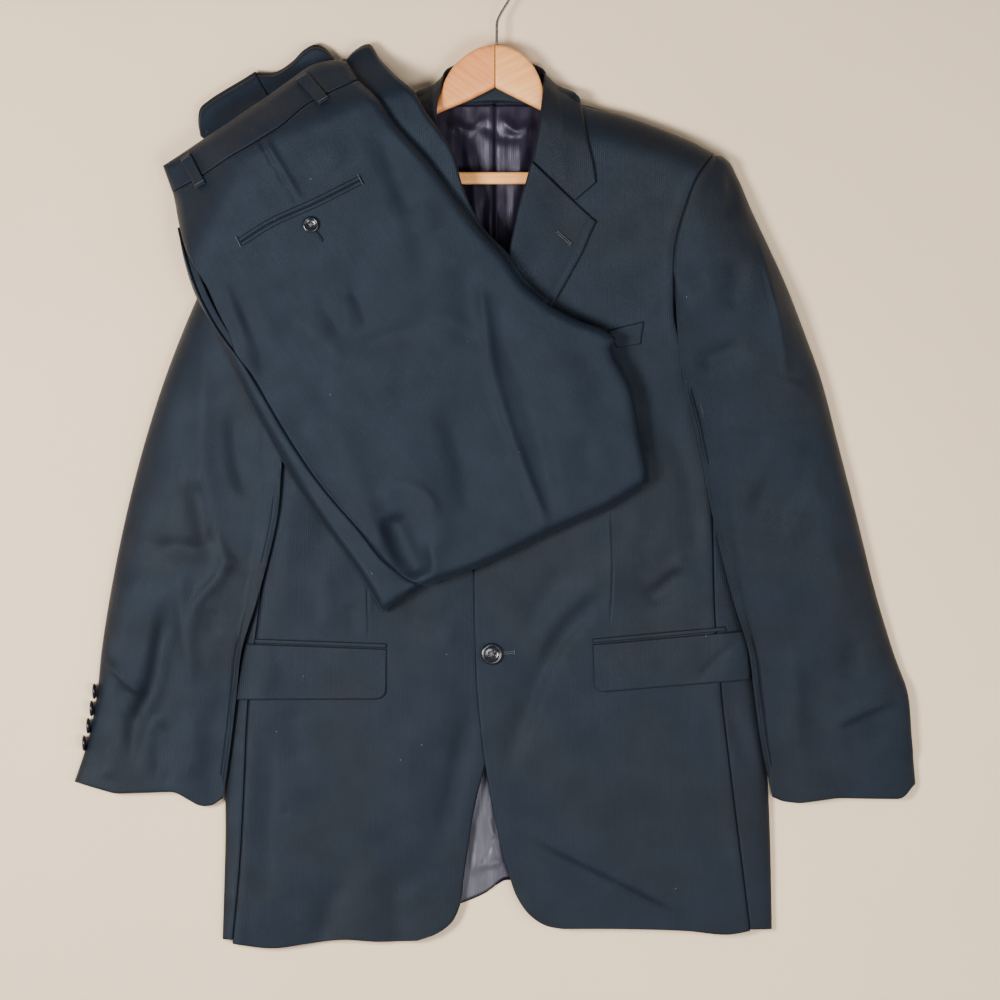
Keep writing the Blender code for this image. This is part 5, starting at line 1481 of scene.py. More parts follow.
@dataclass
class Buttons:
    """The jacket's and the trousers' buttons with their thread."""

    bench: Bench
    thread: Material | None = None
    front: tuple[Point, ...] = ((-3, -142), (-3, -31))
    front_size: ButtonSize = ButtonSize(10.0, 3.2, 0.95, 2.1)
    cuff_size: ButtonSize = ButtonSize(7.4, 2.8, 0.8, 1.6)
    trouser_size: ButtonSize = ButtonSize(7.4, 2.6, 0.8, 1.6)
    cuff_ys: tuple[float, ...] = (-177, -193, -209, -225)
    pocket: Point = (-168, 251)

    def build(self, jacket: JacketLie, trousers: "TrouserLie") -> None:
        """Makes every button."""
        for name, (x, y) in zip(("lower", "upper"), self.front):
            z = float(jacket.top(x, y)) + 0.9
            self.button(f"front_button_{name}", self.front_size, (x, y, z), "z", 0.35)
        for index, y in enumerate(self.cuff_ys, 1):
            outer = float(SLEEVE_RIGHT.column("outer", y))
            at = (-outer - 0.9, y, self.cuff_size.radius + 0.7)
            self.button(f"cuff_button_right_{index}", self.cuff_size, at, "-x", 0.3 * index)
            outer = float(SLEEVE_LEFT.column("outer", y))
            at = (outer - 12, y, 0.7 + self.cuff_size.height)
            self.button(f"cuff_button_left_{index}", self.cuff_size, at, "-z", 0.2 * index)
        x, y = self.pocket
        z = float(trousers.top(np.array(x), np.array(y))) + 1.4
        self.button("pocket_button", self.trouser_size, (x, y, z), "z", 0.6)

    def button(self, node: str, size: ButtonSize, at: Sequence[float], axis: str, turn: float) -> None:
        """One button with four holes and crossed thread.

        Args:
            node: The node that it replaces.
            size: Its sizes.
            at: The middle of its underside, in millimetres.
            axis: The way that its face looks.
            turn: How far its holes are turned, in radians.
        """
        shape = bmesh.new()
        steps = 64
        rings = []
        for radius, height in size.profile():
            if radius == 0:
                rings.append([shape.verts.new((0, 0, height))])
                continue
            angles = [2 * math.pi * k / steps for k in range(steps)]
            ring = [(radius * math.cos(a), radius * math.sin(a), height) for a in angles]
            rings.append([shape.verts.new(place) for place in ring])
        for upper, lower in zip(rings, rings[1:]):
            for k in range(steps):
                j = (k + 1) % steps
                a, b = len(upper), len(lower)
                face = [upper[k % a], lower[k % b], lower[j % b], upper[j % a]]
                shape.faces.new([v for i, v in enumerate(face) if v not in face[:i]])
        body = self._object(shape, "button_body")
        spread = size.spread / math.sqrt(2)
        places = [(spread, spread), (-spread, spread), (-spread, -spread), (spread, -spread)]
        shape = bmesh.new()
        for x, y in places:
            cutter = bmesh.ops.create_cone(
                shape, segments=14, radius1=size.hole, radius2=size.hole, depth=4 * size.height, cap_ends=True
            )
            bmesh.ops.translate(shape, verts=cutter["verts"], vec=(x, y, 0))
        holes = self._object(shape, "button_holes")
        cut = body.modifiers.new("holes", "BOOLEAN")
        cut.operation = "DIFFERENCE"
        cut.solver = "EXACT"
        cut.object = holes
        made = baked(body, f"{node}_horn")
        bpy.data.objects.remove(holes)
        shape = bmesh.new()
        for (ax, ay), (bx, by) in ((places[0], places[2]), (places[1], places[3])):
            for shift in (-0.32, 0.32):
                self._strand(shape, size, (ax, ay), (bx, by), shift)
        body = self._object(shape, "button_thread")
        sewn = baked(body, f"{node}_thread")
        turns = {"z": (0, 0, 1), "-z": (math.pi, 0, 1), "-x": (0, -math.pi / 2, 0)}[axis]
        for mesh, suffix, material in ((made, "horn", None), (sewn, "thread", self.thread)):
            points = np.empty(len(mesh.vertices) * 3)
            mesh.vertices.foreach_get("co", points)
            points = points.reshape(-1, 3) @ self._turned(turn, *turns[:2]).T
            mesh.vertices.foreach_set("co", self.bench.metres(points + np.array(at, float)).ravel())
            mesh.update()
            mesh.shade_smooth()
            if material is not None:
                mesh.materials.append(material)
            nodes = (node,) if suffix == "horn" else ()
            self.bench.piece(f"{node}_{suffix}", mesh, Finish.BUTTON, *nodes)

    def _object(self, shape: bmesh.types.BMesh, name: str) -> Object:
        """A helper object from a mesh being built, with its faces outward."""
        bmesh.ops.recalc_face_normals(shape, faces=shape.faces)
        mesh = bpy.data.meshes.new(name)
        shape.to_mesh(mesh)
        shape.free()
        return placed(name, mesh)

    def _strand(self, shape: bmesh.types.BMesh, size: ButtonSize, first: Point, last: Point,
                shift: float) -> None:
        """One bent strand of thread from hole to hole."""
        first, last = np.array(first), np.array(last)
        way = (last - first) / np.linalg.norm(last - first)
        side = np.array([-way[1], way[0]]) * shift
        ways = np.linspace(-0.05, 1.05, 9)
        rise = 0.54 * size.height + 0.45 * np.sin(np.clip(ways, 0, 1) * math.pi) ** 0.5
        rise = rise + np.where(abs(ways - 0.5) > 0.5, -0.7, 0)
        flat = first + (last - first) * ways[:, None] + side
        points = np.concatenate([flat, rise[:, None]], axis=-1)
        verts, faces = tube(points, 0.34, 6)
        made = [shape.verts.new(v) for v in verts]
        for face in faces:
            shape.faces.new([made[i] for i in face])

    def _turned(self, spin: float, about_x: float, about_y: float) -> Array:
        """Rotation by spin about z, then about x and y."""
        c, s = math.cos(spin), math.sin(spin)
        first = np.array([[c, -s, 0], [s, c, 0], [0, 0, 1]])
        c, s = math.cos(about_x), math.sin(about_x)
        second = np.array([[1, 0, 0], [0, c, -s], [0, s, c]])
        c, s = math.cos(about_y), math.sin(about_y)
        third = np.array([[c, 0, s], [0, 1, 0], [-s, 0, c]])
        return third @ second @ first


def tube(points: Array, radius: float, sides: int) -> tuple[Array, Faces]:
    """Closed round tube along a line.

    Args:
        points: The line.
        radius: The tube's radius.
        sides: How many sides its section has.

    Returns:
        Its points and faces.
    """
    way = np.gradient(points, axis=0)
    way = way / np.linalg.norm(way, axis=1, keepdims=True)
    up = np.tile(np.array([0.0, 0.0, 1.0]), (len(points), 1))
    side = np.cross(way, up)
    side = side / np.maximum(np.linalg.norm(side, axis=1, keepdims=True), 1e-9)
    over = np.cross(side, way)
    angle = np.linspace(0, 2 * math.pi, sides, endpoint=False)[None, :, None]
    ring = points[:, None] + radius * (side[:, None] * np.cos(angle) + over[:, None] * np.sin(angle))
    return ring.reshape(-1, 3), lofted(len(points), sides)


def lofted(rings: int, sides: int) -> Faces:
    """Faces of a closed loft through rings of points, with a cap on both ends."""
    last = (rings - 1) * sides
    faces = [tuple(range(sides)), tuple(reversed(range(last, last + sides)))]
    for start in range(0, last, sides):
        for j in range(sides):
            k = (j + 1) % sides
            faces.append((start + j, start + sides + j, start + sides + k, start + k))
    return faces


# ---- hanger

@dataclass
class Hanger:
    """The wooden hanger: two flat crowned arms, a bar and a wire hook."""

    bench: Bench
    # Place out along an arm, its upper and lower edge, its underside and its crown.
    rows: tuple[Row, ...] = (
        (0.4, 420, 381, 12, 25), (9, 419, 376.5, 12, 25), (17, 416.5, 372.5, 12, 25),
        (28, 409, 367, 12, 25), (37, 398, 362.5, 12, 25), (43, 385, 359.5, 12, 25),
        (48, 370, 357, 11.5, 24.5), (62, 361, 350, 10, 23), (80, 350, 340, 8, 22), (105, 338, 328, 7.5, 22),
        (130, 327, 315, 7, 22), (151, 317, 304, 7, 22), (152.5, 316, 291, 7, 22), (168, 308, 286, 7, 22),
        (180, 300, 288, 8, 21),
    )
    right_longer: float = 5.0
    bevel: float = 3.5
    bar_y: float = 297.5
    bar_half: float = 150.5
    bar_z: float = 15.0
    bar_size: Point = (11.0, 9.0)
    wire: float = 1.3
    hook_radius: float = 24.0
    hook_centre: Point = (0.0, 482.0)
    hook_z: float = 18.5
    stem: Line = ((1.5, 419.0), (1.6, 430), (2.0, 440), (6.5, 450))

    def build(self) -> None:
        """Makes the two halves, the right one in darker beech as painted shade, the bar and the hook."""
        self.half("left", 1, Beech("hanger beech, left arm", (1.0, 0.50, 0.17), (0.92, 0.38, 0.105), -0.42))
        # The right arm's beech is a darker copy of the left arm's: painted shade on the arm that lies turned
        # from the light.
        self.half("right", -1,
                  Beech("hanger beech, right arm, painted shade", (0.86, 0.34, 0.10), (0.74, 0.26, 0.065), 0.62))
        self.bar(Beech("hanger beech, bar", (1.0, 0.50, 0.155), (0.88, 0.36, 0.09)))
        self.hook()

    def half(self, name: str, side: int, wood: Beech) -> None:
        """One arm, from the centre joint out."""
        inner, outer = np.split(np.array(self.rows, float), [12])
        xs = np.concatenate([[0.4, 0.7], np.linspace(1.2, 150.7, 90)])
        xs_out = np.concatenate([np.linspace(152.5, 176, 14), [177.5, 178.8, 179.6, 180]])
        table = [hermite(rows[:, 0], rows[:, 1:], at) for rows, at in ((inner, xs), (outer, xs_out))]
        xs = np.concatenate([xs, xs_out])
        sections = []
        for x, (high, low, base, crown) in zip(xs, np.concatenate(table)):
            tip = 4.0 * (1 - float(quarter((180 - x) / 4.0))) + 0.5 * (1 - float(quarter((x - 0.4) / 0.8)))
            high, low, base, crown = high - tip, low + tip, base + 0.4 * tip, crown - 0.5 * tip
            along = x + (self.right_longer * float(step((x - 20) / 30)) if side < 0 else 0.0)
            sections.append([(side * along, y, z) for y, z in self.ring(high, low, base, crown)])
        sides = len(sections[0])
        points = np.array(sections).reshape(-1, 3)
        faces = lofted(len(sections), sides)
        if side > 0:
            faces = [tuple(reversed(face)) for face in faces]
        mesh = self.bench.mesh(f"wood_arm_{name}", points, faces)
        mesh.materials.append(wood.make())
        self.bench.piece(f"wood_arm_{name}", mesh, Finish.WOOD, f"hanger_{name}")

    def ring(self, high: float, low: float, base: float, crown: float) -> Line:
        """Section of an arm: rounded edges, a broad chamfer above and a slightly domed crown."""
        half = 0.5 * (high - low)
        bevel = min(self.bevel, 0.45 * half)
        corners = []
        for y, z, start, size in (
            (high - bevel, base + bevel, 0, 1), (low + bevel, base + bevel, 270, 1),
            (low + bevel, crown - bevel, 180, 0), (high - bevel, crown - bevel, 90, 0),
        ):
            for part in (0, 0.33, 0.66, 1):
                angle = math.radians(start - 90 * part)
                soft = 1.0 if size else 0.9 + 0.1 * abs(2 * part - 1)
                corners.append((y + bevel * soft * math.cos(angle), z + bevel * soft * math.sin(angle)))
            if start == 180:
                dome = min(0.9, 0.07 * half)
                for part in (0.25, 0.5, 0.75):
                    y = low + bevel + (high - low - 2 * bevel) * part
                    corners.append((y, crown + dome * math.sin(math.pi * part)))
        return tuple(corners)

    def bar(self, wood: Beech) -> None:
        """The trouser bar, with rounded edges."""
        half_y, half_z = self.bar_size[0] / 2, self.bar_size[1] / 2
        ends = np.concatenate([[0, 0.5, 1.2, 2.0], np.linspace(6, 2 * self.bar_half - 6, 30)])
        ends = np.concatenate([ends, 2 * self.bar_half - np.array([2.0, 1.2, 0.5, 0])])
        sections = []
        for along in ends:
            rim = min(along, 2 * self.bar_half - along)
            shrink = 1.2 * (1 - float(quarter(rim / 2.0)))
            ring = []
            for cy, cz, start in ((1, -1, 0), (-1, -1, 270), (-1, 1, 180), (1, 1, 90)):
                for part in (0, 0.33, 0.66, 1):
                    angle = math.radians(start - 90 * part)
                    y = cy * (half_y - 2 - shrink) + 2 * math.cos(angle)
                    z = cz * (half_z - 2 - shrink) + 2 * math.sin(angle)
                    ring.append((along - self.bar_half, self.bar_y + y, self.bar_z + z))
            sections.append(ring)
        mesh = self.bench.mesh("wood_bar", np.array(sections).reshape(-1, 3),
                               [tuple(reversed(face)) for face in lofted(len(sections), 16)])
        mesh.materials.append(wood.make())
        self.bench.piece("wood_bar", mesh, Finish.WOOD, "hanger_bar")

    def hook(self) -> None:
        """A bent wire: up from the wood, a kink, and round."""
        turns = np.radians(np.linspace(-56, 212, 70))
        x, y = self.hook_centre
        arc = np.stack([x + self.hook_radius * np.cos(turns), y + self.hook_radius * np.sin(turns)], axis=-1)
        stem = route([self.stem], np.linspace(0, 1, 24))[:-1]
        flat = np.concatenate([stem, arc[1:]]) + (0, 1.5)
        points = np.concatenate([flat, np.full((len(flat), 1), self.hook_z)], axis=-1)
        verts, faces = tube(points, self.wire, 16)
        mesh = self.bench.mesh("wire_hook", verts, faces)
        self.bench.piece("wire_hook", mesh, Finish.WIRE, "hanger_hook")


# ---- trousers

@dataclass(frozen=True)
class TrouserLie:
    """How the folded trousers lie: their outline, piece by piece, their heights and folds."""

    waist_top: Line = (
        (-307, 309), (-282, 325), (-246, 348), (-212, 371), (-189, 388), (-167, 403), (-138, 407),
    )
    waist_seam: Line = (
        (-297, 283), (-265, 299), (-242, 313), (-219, 326),
        (-198, 339), (-168, 364), (-148, 374), (-125, 385),
    )
    seat: Line = (
        (-125, 385), (-106, 366), (-95, 349), (-62, 311), (-37, 278),
        (-17, 251), (8, 224), (23, 202), (50, 178),
    )
    crotch: Line = ((50, 178), (80, 163), (98, 157), (112, 148))
    inseam: Line = (
        (112, 148), (107, 141), (109, 131), (117, 118), (123, 106), (133, 64), (141, 28), (142, 17),
    )
    bottom_fold: Line = ((142, 17), (107, -5), (54, -29), (-20, -64), (-62, -79))
    bottom_corner: Line = ((-62, -79), (-104, -104))
    outseam: Line = (
        (-297, 283), (-289, 247), (-276, 210), (-261, 173), (-241, 138), (-225, 118), (-199, 74), (-160, 15),
        (-120, -32), (-96, -59), (-81, -72), (-62, -79),
    )
    front_edge: Line = (
        (-104, -104), (-120, -76), (-140, -47), (-160, -20),
        (-199, 42), (-236, 113), (-258, 158), (-274, 187),
        (-285, 219), (-292, 249), (-297, 283),
    )
    jacket_corner: Line = (
        (0, 392), (-49, 383), (-121, 355), (-202, 321), (-224, 300), (-252, 236), (-288, 160), (-323, 60),
        (-343, -18), (-358, -94), (-365, -140), (200, -140), (200, 340),
    )
    underlay_rows: Line = (
        (-110, 29), (-18, 31), (55, 33), (113, 36), (170, 38), (240, 42), (321, 46), (383, 42), (430, 33),
    )
    underlay_fall: float = 75.0
    underlay_left: float = 7.0
    edge_height: float = 4.0
    layer_rise: float = 6.5
    waist_normal: Point = (-0.502, 0.865)
    seat_normal: Point = (0.76, 0.65)
    leg_pile: float = 17.0
    pile_round: float = 10.0
    crease_depth: float = 1.3
    folds: tuple[Fold, ...] = (
        Fold(((-12, 130), (18, 20)), 26, -2.0),
        Fold(((-98, -10), (-84, -44), (-66, -74)), 18, -9.5, 0.0, 0.22),
        Fold(((-60, 20), (-48, -60)), 18, 2.6), Fold(((-122, 2), (-96, -50)), 14, 4.0),
        Fold(((-238, 200), (-205, 130)), 24, 3.5), Fold(((-100, 290), (-40, 180)), 30, 3.0),
        Fold(((54, 176), (84, 60)), 26, 2.4),
    )
    creases: tuple[Fold, ...] = (
        Fold(((-14, 200), (-8, 160), (-3, 124), (16, 58), (35, 8), (50, -30)), 6.5, 3.0, 0.0, 0.1),
        Fold(((0, 196), (8, 150), (24, 104), (38, 60), (49, 8), (54, -20)), 17, -3.4, -0.25, 0.2),
        Fold(((-30, 220), (-24, 170), (-20, 130)), 18, -2.4),
        Fold(((-50, 98), (-36, 57), (-26, 15), (-24, -26)), 26, -4.6, 0.35),
        Fold(((-92, 60), (-70, 20), (-62, 0)), 22, 2.2),
        Fold(((-108, 4), (-84, 14), (-62, 4), (-52, -20)), 11, 2.2, -0.3, 0.2),
        Fold(((-60, -36), (-56, -58), (-57, -80)), 8, 2.0, 0.3, 0.2),
        Fold(((-110, -16), (-102, -40), (-88, -66)), 9, 2.2, -0.3, 0.3),
        Fold(((-165, 190), (-148, 166), (-138, 148)), 9, -1.5, -0.2),
        Fold(((-140, 190), (-136, 168), (-134, 150)), 11, 1.5, 0.2),
        Fold(((-132, 200), (-124, 178), (-116, 156)), 9, -1.7, 0.3),
        Fold(((-186, 168), (-160, 150), (-136, 126)), 10, 1.2, 0.5),
        Fold(((-134, 136), (-92, 152), (-50, 166)), 17, -1.7, -0.4),
        Fold(((-66, 170), (-34, 161), (-8, 146)), 10, 1.4, 0.5),
        Fold(((-150, 90), (-120, 104), (-84, 100)), 22, 1.4, 0.3),
        Fold(((-199, 200), (-170, 190)), 8, -0.9),
        Fold(((-240, 196), (-219, 146), (-208, 104)), 13, -3.0, 0.3),
        Fold(((-252, 206), (-238, 172), (-222, 134)), 9, 1.6),
        Fold(((-112, 350), (-84, 282), (-66, 222), (-62, 190)), 17, -3.4),
        Fold(((-78, 270), (-58, 240)), 20, 1.8),
        Fold(((-214, 92), (-180, 38), (-134, -18), (-104, -44)), 7, 1.8, -0.3),
        Fold(((-196, 96), (-160, 40), (-118, -14)), 15, -1.8),
        Fold(((-150, 90), (-130, 20), (-116, -30)), 22, 2.0),
        Fold(((50, 170), (84, 120), (104, 60)), 22, -1.6), Fold(((76, 60), (92, 10)), 16, -1.3),
        Fold(((-217.5, 330), (-199, 300), (-180, 268)), 2.0, -2.3, 0.5, 0.08),
        Fold(((-212, 332), (-194, 302), (-174, 268)), 9, 1.9, -0.5, 0.25),
        Fold(((-160, 330), (-140, 300)), 22, 1.4), Fold(((-170, 120), (-140, 60)), 20, -1.6),
    )

    def outline(self) -> Array:
        """The whole outline of the upper layer, as points."""
        corner = (self.waist_top[-1], self.seat[0])
        pieces = (
            self.waist_top, corner, self.seat, self.crotch, self.inseam, self.bottom_fold, self.bottom_corner,
            self.front_edge,
        )
        return route(pieces, np.linspace(0, 1, 140, endpoint=False))

    def underlay(self, x: Array, y: Array) -> Array:
        """Height of the jacket and of the surface beside it, smoothed, under the trousers."""
        height = follow(self.underlay_rows, y)
        away = -np.minimum(inside_by(x, y, np.array(self.jacket_corner, float)), 0)
        return self.underlay_left + (height - self.underlay_left) * (1 - step(away / self.underlay_fall))

    def rise(self, x: Array, y: Array) -> Array:
        """How high the upper layer stands at its own edge: more over the second leg and the hems."""
        over_hems = step((self.waist_normal[0] * x + self.waist_normal[1] * y - 385) / 15)
        over_leg = step((self.seat_normal[0] * x + self.seat_normal[1] * y - 130) / 20)
        return self.edge_height + self.layer_rise * np.maximum(over_hems, over_leg)

    def top(self, x: Array, y: Array) -> Array:
        """Height of the trousers' upper layer."""
        x, y = np.asarray(x, float), np.asarray(y, float)
        rise = self.rise(x, y)
        inside = quarter(inside_by(x, y, self.outline()) / self.pile_round)
        folds = folded(x, y, self.folds) + self.crease_depth * folded(x, y, self.creases)
        folds = folds + UNEVEN * ripple(x, y, 21, 55)
        return self.underlay(x, y) + rise + (self.leg_pile + 3 - rise) * inside + folds * inside

    def outseam_x(self, y: Array | float) -> Array:
        """Where the side seam is at any y."""
        return follow(self.outseam, y, 1)


@dataclass
class Trousers:
    """The folded trousers, from their sizes."""

    bench: Bench
    lie: TrouserLie = field(default_factory=TrouserLie)
    pitch: float = 2.8
    wall: float = 1.3
    layer: float = 0.8
    # The front strip's outer edge, and its inner edge's y and gap from the seam, from the waist down.
    front_rows: tuple[tuple[Point, float, float], ...] = (
        ((-292.5, 250), 251, 1.2), ((-285.5, 219), 221, 3.0), ((-274.5, 187), 190, 3.6),
        ((-258.5, 158), 161, 2.4), ((-236, 113), 118, 1.2), ((-219, 79), 85, 1.2), ((-199, 42), 50, 1.2),
        ((-179, 7), 19, 1.2), ((-160, -20), -6, 1.2), ((-140, -47), -29, 1.6), ((-120, -76), -57, 3.4),
        ((-104, -104), -77.5, 5.4),
    )
    loop_side: Line = ((-290, 314), (-281, 320), (-274, 285), (-265, 290))
    loop_back: Line = ((-184, 388.5), (-173.5, 394.5), (-160.5, 360.5), (-151, 367))
    loop_wall: float = 1.8
    back_pocket: Line = ((-235, 238.5), (-207, 256), (-167, 274), (-123, 296))
    pocket_jet: float = 4.0
    pocket_loop: Line = ((-163, 245), (-157, 236))
    facing_depth: float = 4.6
    facing_width: float = 7.0
    hem_upper: tuple[Line, Line] = (
        ((-273, 338), (-275, 352), (-273, 363), (-264, 371), (-250, 380), (-234, 389.5), (-222, 397)),
        ((-262, 329), (-256, 333), (-248, 338), (-240, 343), (-228, 351), (-216, 358.5), (-205, 367)),
    )
    hem_lower: tuple[Line, Line] = (
        ((-221.6, 396), (-205, 396), (-187, 407), (-177, 417), (-166, 422), (-158, 419), (-149, 409)),
        ((-204.4, 367.5), (-191, 378), (-182, 385), (-172, 391), (-164, 396), (-157, 398), (-146, 399)),
    )
    leg_side: tuple[Line, Line] = (
        (
            (-139, 405), (-131, 415), (-117, 422), (-106, 407),
            (-89, 388), (-73, 373), (-64, 357), (-41, 325),
            (-27, 280), (-10, 249), (12, 226), (28, 203), (52, 181),
        ),
        (
            (-141, 392), (-135, 386), (-125, 376), (-111, 362),
            (-100, 345), (-84, 326), (-67, 307), (-52, 289),
            (-40, 270), (-22, 247), (3, 220), (18, 198), (44, 175),
        ),
    )
    leg_layer: float = 5.5
    seat_inset: float = 10.0
    mouth: float = 7.5
    grain: float = 33.0

    def build(self) -> None:
        """Makes every piece of the trousers."""
        lie = self.lie
        small = [
            self.ribbon("pocket_jet_upper", self.back_pocket, 0, self.pocket_jet),
            self.ribbon("pocket_jet_lower", self.back_pocket, self.pocket_jet + 0.5,
                        2 * self.pocket_jet + 0.5),
            self.ribbon("pocket_loop", self.pocket_loop, -1.1, 1.1),
            self.facing(),
        ]
        plan = patch([lie.waist_seam], [lie.bottom_fold[::-1]], [lie.outseam],
                     [lie.seat, lie.crotch, lie.inseam], stops(260, self.pitch, 4), stops(430, self.pitch, 4))
        far = rim_distance(plan)["left"]
        mouth = step((plan[..., 1] - 128) / 30) * step((232 - plan[..., 1]) / 45)
        plan[..., 0] += self.mouth * mouth * np.exp(-((far / 22) ** 2))
        grid = raised(plan, lie.top)
        grid = rolled(grid, top=(2.4, 1.1), right=(3.0, 1.4), left=(2.4, 1.0), bottom=(3.0, 1.2))
        cut = Cut(("cloth_folded_legs",), "folded", tuple(small))
        self.sewn("trouser_back", grid, cut)
        self.front_strip()
        self.waistband()
        self.pile()
        self.leg_end("leg_hem_upper", self.hem_upper, 2)
        self.leg_end("leg_hem_lower", self.hem_lower, 2)
        self.leg_end("leg_side", self.leg_side, 1)

    def sewn(self, node: str, grid: Array, cut: Cut | None, wall: float = 1.3) -> Object:
        """A piece of trouser cloth named for its node."""
        name = f"cloth_{node}"
        return self.bench.cloth(name, grid, Finish.TROUSERS, cut, node, grain=self.grain, wall=wall)

    def sheet_on(self, node: str, plan: Array, lift: float, rims: Rims, wall: float = 1.3) -> Object:
        """A small piece of trouser cloth over a plan, named for its node."""
        grid = rolled(raised(plan, self.lie.top, lift), **rims)
        return self.sewn(node, grid, None, wall)

    def front_strip(self) -> None:
        """The strip of the front that shows: a lip along the side pocket, wider below it."""
        outer = np.array([point for point, _, _ in self.front_rows], float)
        inner = np.array([(float(self.lie.outseam_x(y)) - gap, y) for _, y, gap in self.front_rows])
        at = stops(400, 2.6, 4)
        places = lengths(outer)
        lines = [hermite(places, line, at * places[-1]) for line in (outer, inner)]
        share = np.array([0, 0.06, 0.13, 0.22, 0.33, 0.45, 0.57, 0.68, 0.78, 0.87, 0.94, 1])[None, :, None]
        plan = lines[0][:, None] * (1 - share) + lines[1][:, None] * share
        rims = {"left": (1.4, 0.8), "right": (2.0, 1.0), "top": (1.5, 0.8), "bottom": (2.0, 1.0)}
        grid = rolled(raised(plan, self.lie.top), **rims)
        reach = 0.6 + 5.0 * step((112 - grid[:, -1, 1]) / 14)
        grid = flanged(grid, "right", reach, 2.4)
        cut = Cut(("cloth_folded_legs",), "folded")
        self.sewn("trouser_front", grid, cut)

    def waistband(self) -> None:
        """The waistband, with its belt loops."""
        lie = self.lie
        normal = np.array(lie.waist_normal) * 1.2
        seam = tuple(map(tuple, np.array(lie.waist_seam) + normal))
        band = patch([lie.waist_top], [seam], [(lie.waist_top[0], seam[0])], [(lie.waist_top[-1], seam[-1])],
                     stops(200, 2.6, 4), stops(28, 2.0, 3))
        loops = []
        for name, corners in (("side", self.loop_side), ("back", self.loop_back)):
            plan = quad(corners, stops(10, 1.2, 2)[None, :, None], stops(34, 1.6, 2)[:, None, None])
            rims = {"left": (1.6, 0.9), "right": (1.6, 0.9), "top": (1.6, 1.2), "bottom": (1.6, 1.2)}
            lift = self.loop_wall + 2 * self.layer
            loops.append(self.sheet_on(f"belt_loop_{name}", plan, lift, rims, self.loop_wall))
        rims = {"top": (2.4, 1.4), "bottom": (2.0, 1.0), "left": (2.0, 1.0), "right": (2.0, 1.0)}
        cut = Cut(("cloth_folded_legs", "cloth_leg_hem_upper", "cloth_leg_hem_lower"), sewn_on=tuple(loops))
        grid = flanged(rolled(raised(band, lie.top), **rims), "bottom", 5.0, 2.2)
        self.sewn("waistband", grid, cut)

    def ribbon(self, node: str, points: Line, near: float, far: float) -> Object:
        """A narrow raised strip between two distances below a line that runs from left to right."""
        length = float(lengths(np.array(points, float))[-1])
        line = route([points], stops(length, 2.0, 2))
        way = np.gradient(line, axis=0)
        down = np.stack([way[:, 1], -way[:, 0]], axis=-1) / np.hypot(*way.T)[:, None]
        share = np.linspace(near, far, 9)[:, None, None]
        plan = line[None] + down[None] * share
        return self.sheet_on(node, plan, self.wall + self.layer, all_round(1.5, 1.5))

    def facing(self) -> Object:
        """The dark strip inside the side pocket's open mouth."""
        inner, outer = (
            np.array([(float(self.lie.outseam_x(y)) - gap + out, y + up)
                      for _, y, gap in self.front_rows[:5]])
            for out, up in ((0.7, -0.5), (self.facing_width, 3))
        )
        run = lengths(inner)
        at = np.linspace(0, run[-1], 50)
        share = np.linspace(0, 1, 6)[None, :, None]
        plan = hermite(run, inner, at)[:, None] * (1 - share) + hermite(run, outer, at)[:, None] * share
        grid = raised(plan, self.lie.top)
        grid[..., 2] = grid[:, :1, 2] - self.facing_depth
        return self.sewn("side_pocket_facing", grid, None)

    def pile_under(self, x: Array, y: Array) -> Array:
        """Height that the hidden layers reach, clear of the upper layer all round each point."""
        lowest = self.lie.top(x, y)
        for reach in (9, 18):
            for angle in np.radians(np.arange(0, 360, 60)):
                around = self.lie.top(x + reach * math.cos(angle), y + reach * math.sin(angle))
                lowest = np.minimum(lowest, around)
        return lowest - self.wall - 1.6

    def pile(self) -> None:
        """The hidden layers of the folded legs, as a stack of soft layers that shows at the edges."""
        lie = self.lie
        rows, columns = 60, 44
        u = np.linspace(0, 1, columns)
        u = u - 0.8 * (u - 0.5 - 0.5 * np.sin(np.pi * (u - 0.5)))
        v = np.linspace(0, 1, rows)
        v = v - 0.8 * (v - 0.5 - 0.5 * np.sin(np.pi * (v - 0.5)))
        plan = patch([lie.waist_seam], [lie.bottom_corner[::-1], lie.bottom_fold[::-1]],
                     [lie.front_edge[::-1]], [lie.seat, lie.crotch, lie.inseam], u, v)
        across, down = np.linspace(-1, 1, columns)[None, :], np.linspace(-1, 1, rows)[:, None]
        on_seat = step((across - 0.5) / 0.5) * step((0.35 - down) / 0.3)
        middle = plan.mean(axis=(0, 1))
        low = lie.underlay(plan[..., 0], plan[..., 1]) + 0.3
        high = np.maximum(self.pile_under(plan[..., 0], plan[..., 1]), low + 2.8)
        pillows = []
        for index in range(3):
            uneven = 1 + 0.5 * np.sin(7 * across + 5 * down + 2.1 * index)
            inset = (0.014 + 0.006 * ((index + 1) % 2) * uneven) * (np.abs(across) ** 6 + np.abs(down) ** 6)
            place = plan + (middle - plan) * inset[..., None]
            place = place - on_seat[..., None] * np.array(lie.seat_normal) * self.seat_inset
            bottom = low + (high - low) * index / 3 + (0.15 if index else 0)
            top = low + (high - low) * (index + 1) / 3 - (0.15 if index < 2 else 0)
            pillows.append(pillow(place, bottom, top, 2.4))
        self.stack("folded_legs", pillows)

    def stack(self, node: str, pillows: Sequence[tuple[Array, Faces]]) -> None:
        """Layers of folded cloth as one padded piece, named for its node."""
        points, faces = [], []
        for made, sides in pillows:
            faces += [tuple(i + len(points) for i in face) for face in sides]
            points += list(made)
        points = np.array(points)
        mesh = self.bench.mesh(f"cloth_{node}", points, faces, points[:, :2] * MM)
        self.bench.piece(f"cloth_{node}", mesh, Finish.TROUSERS, node)

